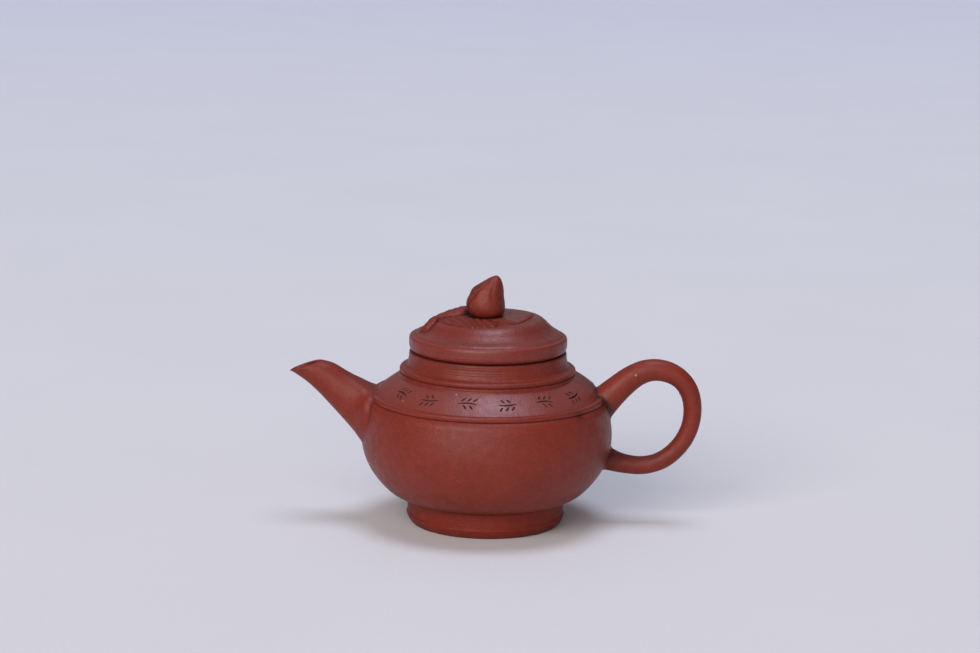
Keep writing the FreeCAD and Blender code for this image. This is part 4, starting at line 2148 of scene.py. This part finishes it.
@dataclass
class Studio:
    """Pale floor, soft daylight and a camera where the photograph was taken from."""

    target: tuple[float, float, float] = (0.41, 0.0, 54.3)
    distance: float = 743.1
    pitch: float = 11.03
    roll: float = 1.04
    lens: float = 100.4
    floor_size: float = 60000.0
    sensor_width: float = 36.0
    sight: float = 50.0
    sky: Colour = (0.86, 0.91, 1.0, 1)
    sky_strength: float = 0.19
    lamps: tuple[Lamp, ...] = (
        Lamp("window_light", azimuth=31.0, elevation=31.0, strength=1.25, width=32.0),
        Lamp("ceiling_light", azimuth=-90.0, elevation=87.0, strength=1.25, width=26.0,
             tint=(0.84, 0.96, 1.22)),
        Lamp("front_fill", azimuth=12.0, elevation=20.0, strength=1.68, width=62.0),
        Lamp("back_wall", azimuth=180.0, elevation=40.0, strength=0.15, width=60.0, tint=(0.90, 0.97, 1.05)),
    )

    def floor(self) -> None:
        """Lay the floor."""
        Bench.clear()
        bpy.ops.mesh.primitive_plane_add(size=self.floor_size * MM)
        plane = Bench.name_new("floor")
        plane.data.materials.append(FloorFinish().material())

    def light(self) -> None:
        """Light the pot from a window high on the left, from above, from the front and from the room."""
        for lamp in self.lamps:
            lamp.hang()
        world = bpy.data.worlds.new("room")
        world.use_nodes = True
        background = world.node_tree.nodes["Background"]
        background.inputs["Color"].default_value = self.sky
        background.inputs["Strength"].default_value = self.sky_strength
        bpy.context.scene.world = world

    def camera(self) -> None:
        """Set the camera up at the photograph's angle."""
        pitch = math.radians(self.pitch)
        roll = math.radians(self.roll)
        ahead = Vector((0, math.cos(pitch), -math.sin(pitch)))
        right = Vector((1, 0, 0))
        up = Vector((0, math.sin(pitch), math.cos(pitch)))
        rolled_right = right * math.cos(roll) + up * math.sin(roll)
        rolled_up = up * math.cos(roll) - right * math.sin(roll)
        place = (Vector(self.target) - ahead * self.distance) * MM
        bpy.ops.object.camera_add()
        camera = bpy.context.object
        turn = Matrix((rolled_right, rolled_up, -ahead)).transposed().to_4x4()
        camera.matrix_world = Matrix.Translation(place) @ turn
        camera.data.sensor_width = self.sensor_width
        camera.data.sensor_fit = "HORIZONTAL"
        camera.data.lens = self.lens
        camera.data.clip_end = self.sight
        bpy.context.scene.camera = camera

    def build(self) -> None:
        """Build floor, light and camera, with plain view settings."""
        self.floor()
        self.light()
        self.camera()
        bpy.context.scene.view_settings.view_transform = "Standard"


def dress_solids(clay: Material) -> None:
    """Give the CAD nodes that stay in view the pot's clay.

    Args:
        clay: the finish.
    """
    for name in KEPT_SOLIDS:
        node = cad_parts[name]
        node.data.materials.clear()
        node.data.materials.append(clay)
        log.info("%s: solid kept", name)


def main() -> None:
    """Build the pot, its lid and the studio."""
    logging.basicConfig(level=logging.INFO, format="%(relativeCreated)6d ms %(message)s")
    sizes = PotSizes.from_frame()
    turned = ClayFinish("turned_clay", Working.TURNED).material()
    modelled = ClayFinish("modelled_clay", Working.MODELLED, roughness=0.46, specular=0.25).material()
    trimmed = ClayFinish("trimmed_clay", Working.TURNED, roughness=0.52, specular=0.19).material()
    burnished = ClayFinish("burnished_clay", Working.TURNED, roughness=0.41, specular=0.64,
                           wheel_lines=0.006).material()
    handled = ClayFinish("handled_clay", Working.TURNED, roughness=0.38, specular=0.42,
                         wheel_lines=0.004).material()
    # The clay inside the carved strokes is very dark: painted shade in the strokes, with residue in them.
    cut = ClayFinish("cut_shade_and_residue_clay", Working.CUT, deep=(0.04, 0.012, 0.010, 1), body=(0.055, 0.015, 0.012, 1),
                     warm=(0.075, 0.02, 0.015, 1), roughness=0.75, specular=0.3).material()
    Pot(sizes, turned, trimmed, burnished, cut).build()
    Spout(sizes, modelled).build()
    Handle(sizes, modelled).build()
    sand = ClayFinish("pale_sand", Working.MODELLED, deep=(0.42, 0.24, 0.17, 1), body=(0.50, 0.30, 0.22, 1),
                      warm=(0.58, 0.38, 0.29, 1)).material()
    Grains("sand_grains", sand, SAND_PLACES).build()
    Grains("clay_crumbs", modelled, CRUMB_PLACES).build()
    lid = Lid(sizes, handled)
    lid.plate()
    Relief(lid, modelled).build()
    dress_solids(turned)
    Studio().build()


if __name__ == "__main__":
    main()
